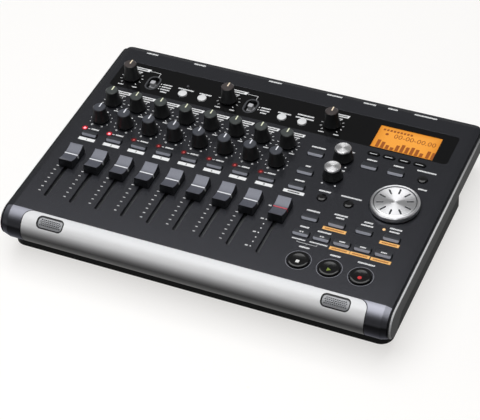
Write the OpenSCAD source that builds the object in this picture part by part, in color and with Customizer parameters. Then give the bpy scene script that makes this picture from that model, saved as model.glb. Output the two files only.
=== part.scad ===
// Desktop digital multitrack recorder: a flat desk unit with channel faders, rotary controls,
// a display, a data wheel and transport keys. Millimetres, +Z up, the rounded nose towards -Y.
// The origin is on the table, under the middle of the whole unit.

/* [Case] */
// Overall width across the two side cheeks
case_w = 292; // [286:1:302]
// Depth from the front of the nose to the rear edge of the top case
case_d = 204; // [202:1:212]
// How far the longest rear sockets stand out behind the top case
socket_reach = 5; // [3:0.5:8]
// Radius of the rounded nose along the front
nose_r = 13.5; // [13:0.5:15]
// Wall thickness of the moulded cases
wall = 2.2; // [2:0.1:2.6]
// Width of the sloped band along the top edges
edge_w = 4.2; // [3:0.1:6]
// Drop of that sloped band
edge_drop = 1.2; // [0.8:0.1:1.5]
// Plan radius of the rear corners
corner_r = 6; // [5:0.5:9]
// Distance from the panel down to the seam between the two cases
seam_drop = 22.5; // [21:0.5:24]

/* [Side cheeks] */
// Thickness of each side cheek
cheek_t = 2.6; // [2:0.1:2.7]
// How far the cheek's top edge lies below the panel
cheek_drop = 1.6; // [1.3:0.1:2.2]
// Width of the bright bevel along the cheek's edge
cheek_bevel = 1; // [0.6:0.1:1.3]
// Height of the cheek's band along the side
cheek_h = 13; // [11:0.5:15]
// Length over which the band deepens to the foot of the nose
cheek_web = 11; // [8:0.5:14]

/* [Base tray] */
// How far the tray hangs below the nose
tray_drop = 7.5; // [6:0.5:9]
// How far the tray's sides lie inside the cheeks
tray_inset = 3; // [2.8:0.1:4]
// Setback of the tray's front lip from the nose
tray_front = 9; // [8:0.5:10.5]
// Plan radius of the tray's front corners
tray_corner_r = 9; // [6:1:12]
// Distance from the nose to the step where the tray narrows
tray_step = 153; // [145:1:160]
// How far each side of the tray steps in towards the rear
tray_narrow = 10; // [8:0.5:12]
// Height of the rubber feet
foot_h = 4; // [3:0.5:6]
// Radius of the rubber feet
foot_r = 8; // [6:0.5:9]

/* [Front panel] */
// Thickness of the metal front panel
front_t = 2; // [1.5:0.1:2.5]
// Distance of the metal front panel's ends from the sides of the shell
front_margin = 15.4; // [13:0.2:22]
// How far its top edge stops short of the flat panel
front_short = 0.6; // [0.5:0.1:2]
// Plan radius of its top corners
front_corner_r = 7; // [4:0.5:9]
// Distance of each microphone opening from the end of the front panel
mic_inset = 21.5; // [18:0.5:38]
// Lean of the microphone openings from upright, in degrees
mic_lean = 32; // [30:1:38]
// Width of a microphone opening
mic_w = 19; // [16:0.1:20]
// Height of a microphone opening
mic_h = 7.8; // [6.5:0.1:8.2]
// Radius of a microphone capsule
mic_capsule_r = 3; // [2.5:0.1:3.2]

/* [Channel strips] */
// Distance of the left-most channel from the side of the shell
channel_margin = 21; // [19.4:0.1:23.4]
// Distance from the last channel to the master fader
master_gap = 22.15; // [20:0.05:23]
// How far the master fader lies left of the first key column
master_off = 21.4; // [19:0.1:22]
// Travel of a fader
fader_travel = 45; // [40:1:45]
// Fader's distance from its front stop at rest
fader_rest = 37; // [0:1:40]
// Setback of the front end of the fader slots from the nose
slot_front = 29; // [28:0.5:32]
// Length of a fader cap
cap_l = 19.6; // [16:0.2:22]
// Width of a fader cap at its foot
cap_w = 11.2; // [9:0.2:12]
// Height of a fader cap's ends
cap_h = 6.2; // [5.5:0.1:8]
// Depth of the finger saddle in a fader cap
cap_dip = 2.3; // [1.5:0.1:2.8]

/* [Knobs] */
// Height of the effect and pan knobs
knob_h = 12.5; // [10:0.5:13.5]
// Radius of those knobs at the skirt
knob_base_r = 6.2; // [5.5:0.1:6.6]
// Radius of those knobs at the top
knob_top_r = 4.75; // [4:0.05:5]
// Height of the input and phones knobs
gain_knob_h = 14; // [12:0.5:15]
// Height of the equaliser knobs
eq_knob_h = 10.4; // [9:0.2:12]
// Radius of the equaliser knobs at the skirt
eq_base_r = 7.4; // [6.8:0.1:7.8]
// Radius of the equaliser knobs at the top
eq_top_r = 5.9; // [5:0.1:6.2]
// Radius of every control shaft
shaft_r = 3; // [2.5:0.1:3.2]
// Radius of the data wheel
wheel_r = 17.3; // [16:0.1:17.8]
// Height of the data wheel above the panel
wheel_h = 4.6; // [4:0.1:6]

/* [Keys] */
// Distance of the last key column from the side of the shell
key_margin = 21.65; // [19.4:0.05:23.4]
// Spacing of the key columns
key_pitch = 19.85; // [19:0.05:20.5]
// Width of the rectangular keys
key_w = 11.5; // [10:0.1:12.4]
// Depth of the rectangular keys
key_d = 5.4; // [5:0.1:6]
// Depth of the slim record-arm keys
arm_key_d = 4.4; // [4:0.1:4.8]
// Height of the keys above the panel
key_h = 1.7; // [1.4:0.1:2]
// Travel of every key
key_travel = 0.7; // [0.5:0.1:0.8]
// Radius of the large transport keys
transport_r = 7.3; // [6.5:0.1:7.8]
// Radius of the small round keys
round_key_r = 3.4; // [3:0.1:3.6]
// Length of the oval function keys
function_key_l = 8.8; // [7:0.1:9.4]
// Depth of the oval function keys
function_key_d = 3.2; // [2.8:0.1:3.6]

/* [Display strip] */
// Flat margin left of the gloss strip
strip_margin_left = 3.5; // [2.5:0.1:5]
// Flat margin right of the gloss strip
strip_margin_right = 6.9; // [4:0.1:8]
// Distance of the strip's rear edge from the rear of the case
strip_rear = 18; // [16:0.1:19]
// Depth of the strip from front to rear
strip_d = 30.7; // [29:0.1:32]
// Thickness of the strip
strip_t = 1; // [0.8:0.1:1.2]
// Width of the display window
lcd_w = 47; // [40:0.5:50]
// Depth of the display window
lcd_d = 24.4; // [20:0.2:25]
// How far the display window's left edge lies right of the first key column
lcd_left = 12; // [10:0.2:14]
// How far the window's front edge lies behind the strip's front edge
lcd_front = 1.1; // [0.9:0.1:2]

/* [Rear sockets] */
// Radius of the 6.3 mm jack bores
jack_bore_r = 3.2; // [3.15:0.05:3.3]
// Radius of the line-out barrels
line_out_r = 4.15; // [4:0.05:4.3]
// Radius of a microphone socket's shell
xlr_r = 11.6; // [11:0.1:12]
// Radius of the direct-current inlet's bore
inlet_bore_r = 2.75; // [2.5:0.05:3]

/* [Hidden] */
$fn = 48;
channels = 8;
eps = 0.01;
// How far a cut runs past the face it opens
cut = 1;

// Clearances: seated parts, sliding parts, running shafts, caps over the panel, and the groove
// round the metal front
seat_gap = 0.1;
slide_gap = 0.3;
run_gap = 0.05;
cap_gap = 0.8;
front_gap = 0.5;

// Heights and depths of the case
panel_z = foot_h + tray_drop + 2 * nose_r;
nose_z = panel_z - nose_r;
seam_z = panel_z - seam_drop;
under_z = panel_z - wall;
y_front = -(case_d + socket_reach) / 2;
y_rear = y_front + case_d;
nose_y = y_front + nose_r;
shell_half = case_w / 2 - cheek_t;
cheek_r = nose_r - cheek_drop;
tray_half = case_w / 2 - tray_inset;
tray_rear_half = tray_half - tray_narrow;
tray_floor_z = foot_h + wall;
front_core_r = nose_r - front_t;
nose_bore_r = front_core_r - wall;
front_half = shell_half - front_margin;
front_edge = nose_r - front_short;
mic_x = front_half - mic_inset;
rear_inset = 2;
rear_t = 2;
socket_depth = 14;
capsule_top = sqrt(front_core_r ^ 2 - mic_capsule_r ^ 2) - seat_gap;

// Seats sunk into the panel
strip_left = strip_margin_left - shell_half + edge_w;
strip_right = shell_half - edge_w - strip_margin_right;
strip_front = case_d - strip_rear - strip_d;
strip_corner_r = 3;
strip_seat = strip_t + 2 * seat_gap;
wheel_sink = 0.7;
ring_sink = 0.5;
ring_w = 1.1;
mic_corner_r = 2.7;

// Circuit board and what stands on it
board_t = 1.6;
board_drop = 12;
board_side = 5.8;
board_gap = 8;
board_back = 6;
board_z = panel_z - board_drop;
board_half = shell_half - wall - board_side;
board_front = nose_r + board_gap;
board_rear = case_d - rear_inset - socket_depth - board_back;
pot_w = 11;
pot_h = 6.5;
pot_grip = 4;
fader_unit_w = 9;
fader_unit_end = 4;
fader_unit_h = 7;
flange_t = 0.8;
stem_l = 0.5;
tact_z = under_z - flange_t - stem_l - key_travel - 2 * seat_gap;
lever_t = 1.2;
lever_l = 8;
slot_w = 3;
slot_l = fader_travel + lever_l + 2 * slide_gap;

// Rows, as distances behind the front of the nose. Three rows share out the depth between the fader
// slots and the strip in even steps, less small offsets, and the others line up with them.
slot_end = slot_front + slot_l;
bank_step = (strip_front - slot_end) / 4;
arm_off = 2.575;
pan_off = 2.45;
effect_off = 0.125;
row_arm = slot_end + bank_step - arm_off;
row_pan = slot_end + 2 * bank_step - pan_off;
row_effect = slot_end + 3 * bank_step - effect_off;
row_transport = 31.9;
row_search = 56.1;
row_locate = 72;
undo_off = 7.2;
row_undo = row_locate + undo_off;
menu_off = 20.6;
row_menu = strip_front - menu_off;
wheel_off = 0.15;
row_wheel = (row_locate + row_menu) / 2 - wheel_off;
round_off = 4.4;
row_round = row_arm - round_off;
led_back = 6.1;
row_led = row_arm + led_back;
eq_key_off = 2.1;
row_eq_key = row_pan - eq_key_off;
function_off = 6.5;
row_function = strip_front - function_off;
source_up = 8.3;
row_source = strip_front + source_up;
gain_up = 12.7;
row_gain = strip_front + gain_up;
lamp_up = 18;
row_lamp = strip_front + lamp_up;

// Columns, as distances from the middle. The key block keeps to the right side of the shell, and the
// channels spread over what is left of it.
key_cols = 4;
key_last = shell_half - key_margin;
key_first = key_last - (key_cols - 1) * key_pitch;
master_x = key_first - master_off;
channel_first = channel_margin - shell_half;
channel_pitch = (master_x - master_gap - channel_first) / (channels - 1);
half_bank = channels / 2 * channel_pitch;
gain_x = [channel_first, channel_first + half_bank, master_x];
eq_off = 0.7;
eq_x = key_first - eq_off;
mode_key_off = 20.7;
mode_key_x = key_first - mode_key_off;
search_pitch = 14.9;
transport_off = 7.8;
transport_first = key_first + transport_off;
transport_pitch = 22.2;
wheel_side = 8.95;
wheel_x = key_last - wheel_side;
function_side = 18;
function_first = key_first + function_side;
function_pitch = 11.5;
led_off = -7.2;
source_off = [36, 20];
switch_off = 17.8;
undo_side = 8.25;
undo_x = key_last - undo_side;

// Rises of the low keys and corner radii of the rectangular ones
low_key_h = 0.85;
transport_h = 1.2;
key_corner_r = 1.2;
arm_corner_r = 0.9;

// Indicator lamps, input switches and the power switch
led_r = 1.2;
led_rise = 0.5;
switch_travel = 2.4;
switch_margin = 2.5;
switch_w = 7.6;
switch_sink = 4;
switch_z = panel_z - switch_sink;
switch_lever = 3.6;
switch_l = switch_lever + 2 * (switch_travel + switch_margin);
switch_rise = 0.8;
power_travel = 4;
power_lever_w = 5;
power_slot_w = power_lever_w + power_travel + 2 * slide_gap;
power_slot_h = 4.6;
power_rise = 3;

// Rear panel and its sockets
rear_half = tray_rear_half - wall - seat_gap;
rear_face_y = y_rear - rear_inset;
socket_z = (tray_floor_z + under_z) / 2;
remote_side = 10.7;
remote_x = remote_side - rear_half;
input_side = 40.7;
input_mid = 17.4;
input_x = [remote_x + input_side, -input_mid];
xlr_off = -10.5;
jack_off = 13.5;
power_side = 28.8;
power_x = rear_half - power_side;
inlet_off = 25.5;
inlet_x = power_x - inlet_off;
phones_off = 18;
phones_x = inlet_x - phones_off;
line_out_off = 27.8;
line_out_x = phones_x - line_out_off;
line_out_pitch = 14;
line_out_step = 0.4;
line_out_neck_r = line_out_r - line_out_step;
jack_nose_r = 4.7;
jack_nose_l = 3;
jack_nut_r = 6.4;
jack_nut_t = 2;
jack_body_w = 13;
remote_bore_r = 1.3;
remote_nose_r = 3;
remote_nut_r = 4.4;
remote_body_w = 8;
socket_floor = 1;
inlet_w = 9.4;
inlet_h = 11;

// Posts and screws that hold the board and the tray
post_r = 3.4;
post_side = 17;
post_side_rear = 13;
post_lead = 22;
post_mid_lead = 45;
post_tail = 28;
post_front = tray_front + post_lead;
post_mid = tray_step - post_mid_lead;
post_rear = case_d - post_tail;
post_places = [for (side = [-1, 1]) each [
    [side * (tray_half - post_side), post_front], [side * (tray_half - post_side), post_mid],
    [side * (tray_rear_half - post_side_rear), post_rear]]];
screw_r = 1.5;
screw_head_r = 2.8;
screw_head_h = 1.6;
screw_l = 16;
foot_side = 21;
foot_lead = 26;
foot_tail = 18;
foot_x = tray_rear_half - foot_side;
foot_front = tray_front + foot_lead;
foot_rear = case_d - foot_tail;
foot_places = [for (side = [-1, 1]) each [[side * foot_x, foot_front], [side * foot_x, foot_rear]]];

function row(d) = y_front + d;
function channel_x(i) = channel_first + i * channel_pitch;

// Places of the controls
effect_spots = [for (i = [0 : channels - 1]) [channel_x(i), row(row_effect)]];
pan_spots = [for (i = [0 : channels - 1]) [channel_x(i), row(row_pan)]];
gain_spots = [for (x = gain_x) [x, row(row_gain)]];
eq_spots = [[eq_x, row(row_effect)], [eq_x, row(row_pan)]];
knob_spots = concat(effect_spots, pan_spots, gain_spots, eq_spots);
wheel_spot = [wheel_x, row(row_wheel)];
fader_spots = concat([for (i = [0 : channels - 1]) channel_x(i)], [master_x]);
arm_spots = [for (i = [0 : channels - 1]) [channel_x(i), row(row_arm)]];
mode_spots = [for (d = [row_arm, row_eq_key, row_menu]) [mode_key_x, row(d)]];
menu_spots = [for (i = [1 : 2]) [key_first + i * key_pitch, row(row_menu)]];
locate_spots = [for (i = [0 : key_cols - 1]) [key_first + i * key_pitch, row(row_locate)]];
panel_spots = concat(mode_spots, menu_spots, locate_spots);
search_spots = [for (i = [0 : 4]) [key_first + i * search_pitch, row(row_search)]];
function_spots = [for (i = [0 : 3]) [function_first + i * function_pitch, row(row_function)]];
round_spots = [[key_first, row(row_round)], [key_first + key_pitch, row(row_round)],
    [key_last, row(row_menu)]];
source_spots = [for (i = [0 : 1]) for (off = source_off) [gain_x[i] + half_bank - off, row(row_source)]];
transport_spots = [for (i = [0 : 2]) [transport_first + i * transport_pitch, row(row_transport)]];
switch_spots = [for (i = [0 : 1]) [gain_x[i] + switch_off, row(row_gain)]];
lamp_spots = concat([for (s = arm_spots) [s.x + led_off, row(row_led)]],
    [[undo_x, row(row_undo)], [source_spots[0].x, row(row_lamp)]]);
key_spots = concat(arm_spots, panel_spots, search_spots, function_spots, round_spots,
    source_spots, transport_spots);
jack_spots = [input_x[0] + jack_off, input_x[1] + jack_off, phones_x];

FIXED = ["top_case", "bottom_case", "front_panel", "side_cheeks", "rear_panel", "control_strip",
    "display_module", "main_board", "potentiometers", "mic_grilles", "mic_capsules",
    "xlr_sockets", "jack_sockets", "line_out_sockets", "indicator_leds", "feet", "screws"];
KNOBS = ["input_knob_a", "input_knob_b", "phones_knob"];
EQ_KNOBS = ["eq_high_knob", "eq_low_knob"];
TRANSPORT = ["stop_key", "play_key", "record_key"];
SWITCHES = ["input_switch_a", "input_switch_b"];
KEYS = ["arm_keys", "panel_keys", "search_keys", "function_keys", "round_keys", "source_keys"];
FADERS = concat([for (i = [1 : channels]) str("channel_fader_", i)], ["master_fader"]);

// Places its children at each of a list of points
module at(spots) {
    for (s = spots) translate([s.x, s.y, 0]) children();
}

// Rectangle with round corners
module rounded(w, d, r) {
    square([w - 2 * r, d], center = true);
    square([w, d - 2 * r], center = true);
    for (x = [-1, 1], y = [-1, 1])
        translate([x * (w / 2 - r), y * (d / 2 - r)]) circle(r);
}

// Slot with round ends, long along X
module racetrack(l, d) {
    square([l - d, d], center = true);
    for (x = [-1, 1]) translate([x * (l - d) / 2, 0]) circle(d / 2);
}

// Rectangle between two corners, with the two corners at its far end rounded
module round_ended(half, y0, y1, r) {
    translate([-half, y0]) square([2 * half, y1 - r - y0]);
    translate([r - half, y0]) square([2 * (half - r), y1 - y0]);
    for (x = [-1, 1]) translate([x * (half - r), y1 - r]) circle(r);
}

// Extrusion between two heights
module slab(z0, z1) {
    translate([0, 0, z0]) linear_extrude(z1 - z0) children();
}

// Turns a revolved shape's axis to X and keeps its front half
module along_nose() {
    translate([0, nose_y, nose_z]) mirror([0, 1, 0]) rotate([0, 90, 0])
        rotate_extrude(angle = 180) children();
}

// Cylinder along the axis of the nose
module nose_bar(r, half) {
    translate([-half, nose_y, nose_z]) rotate([0, 90, 0]) cylinder(r = r, h = 2 * half);
}

// Cylinder that runs rearwards from a point on the rear panel's plane
module rearward(x, y0, y1, r) {
    translate([x, y1, socket_z]) rotate([90, 0, 0]) cylinder(r = r, h = y1 - y0);
}

// Plan outline of the top case, drawn in by an inset
module case_plan(inset) {
    round_ended(shell_half - inset, y_front - cut, y_rear - inset, corner_r - inset);
}

// Top case section across the width, measured from the nose axis and drawn in by an inset
module case_section(inset, down) {
    slope = norm([edge_w, edge_drop]);
    x_side = shell_half - inset;
    x_top = shell_half - edge_w - inset * (slope - edge_w) / edge_drop;
    z_top = nose_r - inset;
    z_side = nose_r - edge_drop - inset * (slope - edge_drop) / edge_w;
    polygon([[-x_side, -down], [x_side, -down], [x_side, z_side], [x_top, z_top],
        [-x_top, z_top], [-x_side, z_side]]);
}

// Side outline of the top case, with its rear top edge sloped like the sides
module case_profile() {
    translate([-case_w / 2, 0, 0]) rotate([90, 0, 90]) linear_extrude(case_w)
        polygon([[y_front - cut, 0], [y_rear, 0], [y_rear, panel_z - edge_drop], [y_rear - edge_w, panel_z],
            [y_front - cut, panel_z]]);
}

// Top case outside: the flat slab with sloped edges, closed at the front by the same section revolved
module case_outside() {
    x_top = shell_half - edge_w;
    z_side = nose_r - edge_drop;
    intersection() {
        union() {
            along_nose() polygon([[0, -shell_half], [z_side, -shell_half], [nose_r, -x_top],
                [nose_r, x_top], [z_side, shell_half], [0, shell_half]]);
            translate([0, y_rear, nose_z]) rotate([90, 0, 0])
                linear_extrude(y_rear - nose_y) case_section(0, nose_z - seam_z);
        }
        slab(0, panel_z + cut) case_plan(0);
        case_profile();
    }
}

// Hollow inside the top case, down to the tray and forward into the nose
module case_inside() {
    intersection() {
        translate([0, y_rear - wall, nose_z]) rotate([90, 0, 0])
            linear_extrude(case_d - wall - nose_r) case_section(wall, nose_z);
        slab(seam_z + wall, panel_z) case_plan(wall);
    }
    slab(seam_z - cut, seam_z + wall + eps) intersection() {
        tray_plan(wall);
        case_plan(wall);
    }
    nose_bar(nose_bore_r, shell_half - wall);
}

// Plan outline of the base tray, drawn in by an inset
module tray_plan(inset) {
    step_y = row(tray_step) - inset;
    mirror([0, 1, 0]) round_ended(tray_half - inset, -step_y, -row(tray_front) - inset, tray_corner_r);
    translate([inset - tray_rear_half, row(tray_front) + tray_corner_r])
        square([2 * (tray_rear_half - inset), rear_face_y - row(tray_front) - tray_corner_r]);
}

// Plan of the metal front panel, grown by a gap
module front_plan(gap) {
    round_ended(front_half + gap, y_front - cut, row(front_edge) + gap, front_corner_r + gap);
}

// Points its children's +Z out of a microphone opening, from the nose axis
module at_mic(side) {
    translate([side * mic_x, nose_y, nose_z]) rotate([mic_lean, 0, 0]) children();
}

// Prism of a microphone opening, grown by a gap
module mic_prism(side, gap) {
    at_mic(side) linear_extrude(nose_r + cut) rounded(mic_w + 2 * gap, mic_h + 2 * gap, mic_corner_r + gap);
}

// Plan of the gloss strip, grown by a gap
module strip_plan(gap) {
    w = strip_right - strip_left;
    translate([(strip_left + strip_right) / 2, row(strip_front) + strip_d / 2])
        rounded(w + 2 * gap, strip_d + 2 * gap, strip_corner_r + gap);
}

// Plan of the display window, grown by a gap
module lcd_plan(gap) {
    translate([key_first + lcd_left - gap, row(strip_front + lcd_front) - gap])
        square([lcd_w + 2 * gap, lcd_d + 2 * gap]);
}

// Plan outlines of the keys, grown by a gap
module arm_plan(gap) { rounded(key_w + 2 * gap, arm_key_d + 2 * gap, arm_corner_r + gap); }
module panel_plan(gap) { rounded(key_w + 2 * gap, key_d + 2 * gap, key_corner_r + gap); }
module function_plan(gap) { racetrack(function_key_l + 2 * gap, function_key_d + 2 * gap); }
module round_plan(gap) { circle(round_key_r + gap); }
module transport_plan(gap) { circle(transport_r + gap); }
module switch_plan(gap) { rotate(90) racetrack(switch_l + 2 * gap, switch_w + 2 * gap); }

// All holes through the panel, as plan outlines
module panel_holes() {
    at(arm_spots) arm_plan(slide_gap);
    at(concat(panel_spots, search_spots)) panel_plan(slide_gap);
    at(function_spots) function_plan(slide_gap);
    at(transport_spots) transport_plan(slide_gap);
    at(concat(round_spots, source_spots)) round_plan(slide_gap);
    at(switch_spots) switch_plan(0);
    at(concat(knob_spots, [wheel_spot])) circle(shaft_r + slide_gap);
    at(lamp_spots) circle(led_r + seat_gap);
    lcd_plan(0);
    for (x = fader_spots) translate([x, row(slot_front) + slot_l / 2]) rotate(90) racetrack(slot_l, slot_w);
}

module top_case() {
    color("#2e3033") difference() {
        case_outside();
        case_inside();
        // Seat of the metal front panel
        intersection() {
            difference() {
                nose_bar(nose_r + cut, front_half + cut);
                nose_bar(front_core_r, front_half + 2 * cut);
            }
            slab(0, panel_z + cut) front_plan(front_gap);
        }
        // Sound ways to the microphones
        for (side = [-1, 1]) at_mic(side) cylinder(r = mic_capsule_r + seat_gap, h = nose_r);
        // Rear opening for the socket panel
        translate([-rear_half - seat_gap, rear_face_y - rear_t - wall, seam_z - cut])
            cube([2 * (rear_half + seat_gap), rear_t + 2 * wall + rear_inset, under_z - seam_z + cut]);
        // Shallow seats of the gloss strip, the wheel and the transport keys
        slab(panel_z - strip_seat, panel_z + cut) strip_plan(seat_gap);
        at([wheel_spot]) slab(panel_z - wheel_sink, panel_z + cut) circle(wheel_r + ring_w);
        at(transport_spots) slab(panel_z - ring_sink, panel_z + cut) transport_plan(ring_w);
        slab(under_z - cut, panel_z + cut) panel_holes();
    }
}

module bottom_case() {
    color("#161718") difference() {
        union() {
            difference() {
                slab(foot_h, seam_z) tray_plan(0);
                slab(tray_floor_z, seam_z + cut) intersection() {
                    tray_plan(wall);
                    translate([-case_w, nose_y + wall]) square([2 * case_w, case_d]);
                }
                // Rear side is open for the socket panel
                translate([-rear_half - seat_gap, rear_face_y - rear_t - seat_gap, tray_floor_z])
                    cube([2 * (rear_half + seat_gap), 2 * rear_t, seam_z]);
            }
            at([for (p = post_places) [p.x, row(p.y)]])
                translate([0, 0, foot_h + eps]) cylinder(r = post_r, h = board_z - board_t - foot_h - eps);
        }
        // The lip follows the underside of the nose
        translate([0, seat_gap, 0]) along_nose() translate([0, -shell_half])
            square([nose_r + seat_gap, 2 * shell_half]);
        at([for (p = post_places) [p.x, row(p.y)]]) {
            translate([0, 0, foot_h - cut])
                cylinder(r = screw_head_r + seat_gap, h = screw_head_h + cut + seat_gap);
            cylinder(r = screw_r + run_gap, h = foot_h + screw_head_h + screw_l + cut);
        }
    }
}

module front_panel() {
    color("#b9bcc0") intersection() {
        difference() {
            nose_bar(nose_r, front_half);
            nose_bar(front_core_r + seat_gap, front_half + cut);
            for (side = [-1, 1]) mic_prism(side, 0);
            translate([-case_w, nose_y, 0]) cube([2 * case_w, case_d, panel_z]);
        }
        slab(0, panel_z + cut) front_plan(0);
    }
}

// One side cheek: a band with a bevelled edge and a groove beside the shell. It follows the nose, and
// its lower edge runs down to the foot of the nose.
module cheek() {
    x0 = shell_half;
    x1 = case_w / 2;
    groove = 0.5;
    low = cheek_r - cheek_h;
    edge = [[cheek_r - groove, x0], [cheek_r, x0 + groove], [cheek_r, x1 - cheek_bevel],
        [cheek_r - cheek_bevel, x1]];
    intersection() {
        union() {
            along_nose() polygon(concat([[0, x0]], edge, [[0, x1]]));
            translate([0, y_rear, nose_z]) rotate([90, 0, 0]) linear_extrude(y_rear - nose_y)
                polygon(concat([[x0, low]], [for (p = edge) [p.y, p.x]], [[x1, low]]));
            translate([x0, nose_y, nose_z]) rotate([90, 0, 90]) linear_extrude(cheek_t)
                polygon([[0, cheek_bevel - cheek_r], [cheek_web, low], [0, low]]);
        }
        slab(0, panel_z) round_ended(x1, y_front, y_rear, corner_r + cheek_t);
    }
}

module side_cheeks() {
    color("#4a4c4f") for (side = [0, 1]) mirror([side, 0, 0]) cheek();
}

// Round hole in the rear panel for a socket's nose
module panel_hole(x, r) {
    rearward(x, rear_face_y - rear_t - cut, rear_face_y + cut, r + seat_gap);
}

module rear_panel() {
    color("#1a1b1c") difference() {
        translate([-rear_half, rear_face_y - rear_t, tray_floor_z])
            cube([2 * rear_half, rear_t, under_z - tray_floor_z - seat_gap]);
        for (x = input_x) panel_hole(x + xlr_off, xlr_r);
        for (x = jack_spots) panel_hole(x, jack_nose_r);
        for (side = [-1, 1]) panel_hole(line_out_x + side * line_out_pitch / 2, line_out_neck_r);
        panel_hole(remote_x, remote_nose_r);
        translate([inlet_x, rear_face_y, socket_z])
            cube([inlet_w + 2 * seat_gap, 3 * rear_t, inlet_h + 2 * seat_gap], center = true);
        translate([power_x, rear_face_y, socket_z])
            cube([power_slot_w, 3 * rear_t, power_slot_h], center = true);
    }
}

module control_strip() {
    top = panel_z - seat_gap;
    color("#0c0c0d") difference() {
        slab(top - strip_t, top) strip_plan(0);
        slab(top - 2 * strip_t, top + cut) panel_holes();
    }
}

module display_module() {
    frame = 3;
    glass_drop = 0.6;
    color("#f0a040") {
        slab(board_z, under_z - seat_gap) intersection() {
            lcd_plan(frame);
            translate([-case_w, -case_d]) square([2 * case_w, row(board_rear) + case_d]);
        }
        slab(board_z, panel_z - glass_drop) lcd_plan(-seat_gap);
    }
}

module main_board() {
    tact_w = 4.2;
    plunger_r = 1.2;
    plunger_h = 0.6;
    color("#2d6b3f") {
        slab(board_z - board_t, board_z) translate([-board_half, row(board_front)])
            square([2 * board_half, board_rear - board_front]);
        at(key_spots) {
            translate([-tact_w / 2, -tact_w / 2, board_z - eps])
                cube([tact_w, tact_w, tact_z - plunger_h - board_z]);
            translate([0, 0, board_z]) cylinder(r = plunger_r, h = tact_z - board_z);
        }
        at(switch_spots) slab(board_z - eps, switch_z) switch_plan(1);
    }
}

module potentiometers() {
    bore_h = pot_grip + slide_gap;
    color("#7d8084") {
        difference() {
            at(concat(knob_spots, [wheel_spot]))
                translate([-pot_w / 2, -pot_w / 2, board_z]) cube([pot_w, pot_w, pot_h]);
            at(concat(knob_spots, [wheel_spot]))
                translate([0, 0, board_z + pot_h - bore_h]) cylinder(r = shaft_r + run_gap, h = bore_h + cut);
        }
        for (x = fader_spots) translate([x, row(slot_front) + slot_l / 2, board_z]) difference() {
            translate([-fader_unit_w / 2, -slot_l / 2 - fader_unit_end, 0])
                cube([fader_unit_w, slot_l + 2 * fader_unit_end, fader_unit_h]);
            translate([0, 0, board_t]) linear_extrude(fader_unit_h)
                square([lever_t + 2 * slide_gap, slot_l], center = true);
        }
    }
}

// Perforated sheet behind each microphone opening, curved like the nose
module mic_grilles() {
    sheet_sink = 0.7;
    sheet_out = nose_r - sheet_sink;
    hole_r = 0.5;
    hole_pitch = 1.5;
    row_pitch = hole_pitch * sin(60);
    margin = 1.5;
    cols = floor((mic_w - 2 * margin) / hole_pitch);
    rows = floor((mic_h - 2 * margin) / row_pitch);
    color("#8d8f96") for (side = [-1, 1]) difference() {
        intersection() {
            difference() {
                nose_bar(sheet_out, case_w / 2);
                nose_bar(front_core_r + seat_gap, case_w / 2 + cut);
            }
            mic_prism(side, -seat_gap);
        }
        at_mic(side) for (j = [0 : rows]) for (i = [0 : cols - j % 2])
            translate([(i - (cols - j % 2) / 2) * hole_pitch, (j - rows / 2) * row_pitch, 0])
                cylinder(r = hole_r, h = nose_r + cut);
    }
}

module mic_capsules() {
    tail = 2;
    color("#55585c") for (side = [-1, 1]) at_mic(side)
        translate([0, 0, nose_bore_r - tail])
            cylinder(r = mic_capsule_r, h = capsule_top - nose_bore_r + tail);
}

// Female three-pin socket: a flanged cup with a separate insert, which leaves a ring groove for the
// plug's sleeve. The insert is in thirds that meet at its three six-sided contact holes
module xlr_socket(x) {
    insert_r = 8.3;
    sleeve_r = 9.8;
    contact_r = 1.3;
    contact_ring = 4.3;
    groove = 10;
    rise = 0.6;
    lip = 1.2;
    parting = 2 * seat_gap;
    y0 = rear_face_y - socket_depth;
    y_floor = rear_face_y - groove;
    difference() {
        union() {
            rearward(x, y0, rear_face_y + rise, xlr_r);
            rearward(x, y0, rear_face_y - rear_t - seat_gap, xlr_r + lip);
        }
        rearward(x, y_floor, rear_face_y + cut, sleeve_r);
    }
    difference() {
        rearward(x, y_floor + seat_gap, rear_face_y, insert_r);
        for (a = [-30, 90, 210]) translate([x, y_floor, socket_z]) rotate([0, -a, 0]) {
            translate([contact_ring, socket_floor, 0]) rotate([-90, 0, 0])
                cylinder(r = contact_r, h = groove - socket_floor + cut, $fn = 6);
            translate([0, 0, -parting / 2]) cube([insert_r + cut, groove + cut, parting]);
        }
    }
}

module xlr_sockets() {
    color("#232426") for (x = input_x) xlr_socket(x + xlr_off);
}

// Phone jack: body behind the panel, threaded nose through it and a ring nut outside
module jack_socket(x, nose, nut, bore, body) {
    y0 = rear_face_y - socket_depth;
    difference() {
        union() {
            translate([x - body / 2, y0, socket_z - body / 2])
                cube([body, socket_depth - rear_t - seat_gap, body]);
            rearward(x, y0, rear_face_y + jack_nose_l, nose);
            rearward(x, rear_face_y + seat_gap, rear_face_y + seat_gap + jack_nut_t, nut);
        }
        rearward(x, y0 + socket_floor, rear_face_y + jack_nose_l + cut, bore);
    }
}

// Power inlet: a block with a round well and its centre pin
module power_inlet() {
    pin_r = 1;
    pin_sink = 1;
    rise = 0.5;
    rim = 1;
    rim_t = 1.5;
    y0 = rear_face_y - socket_depth;
    difference() {
        union() {
            translate([inlet_x - inlet_w / 2, y0, socket_z - inlet_h / 2])
                cube([inlet_w, socket_depth + rise, inlet_h]);
            translate([inlet_x, rear_face_y - rear_t - seat_gap - rim_t / 2, socket_z])
                cube([inlet_w + 2 * rim, rim_t, inlet_h + 2 * rim], center = true);
        }
        difference() {
            rearward(inlet_x, y0 + socket_floor, rear_face_y + 2 * cut, inlet_bore_r);
            rearward(inlet_x, y0, rear_face_y - pin_sink, pin_r);
        }
    }
}

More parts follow.
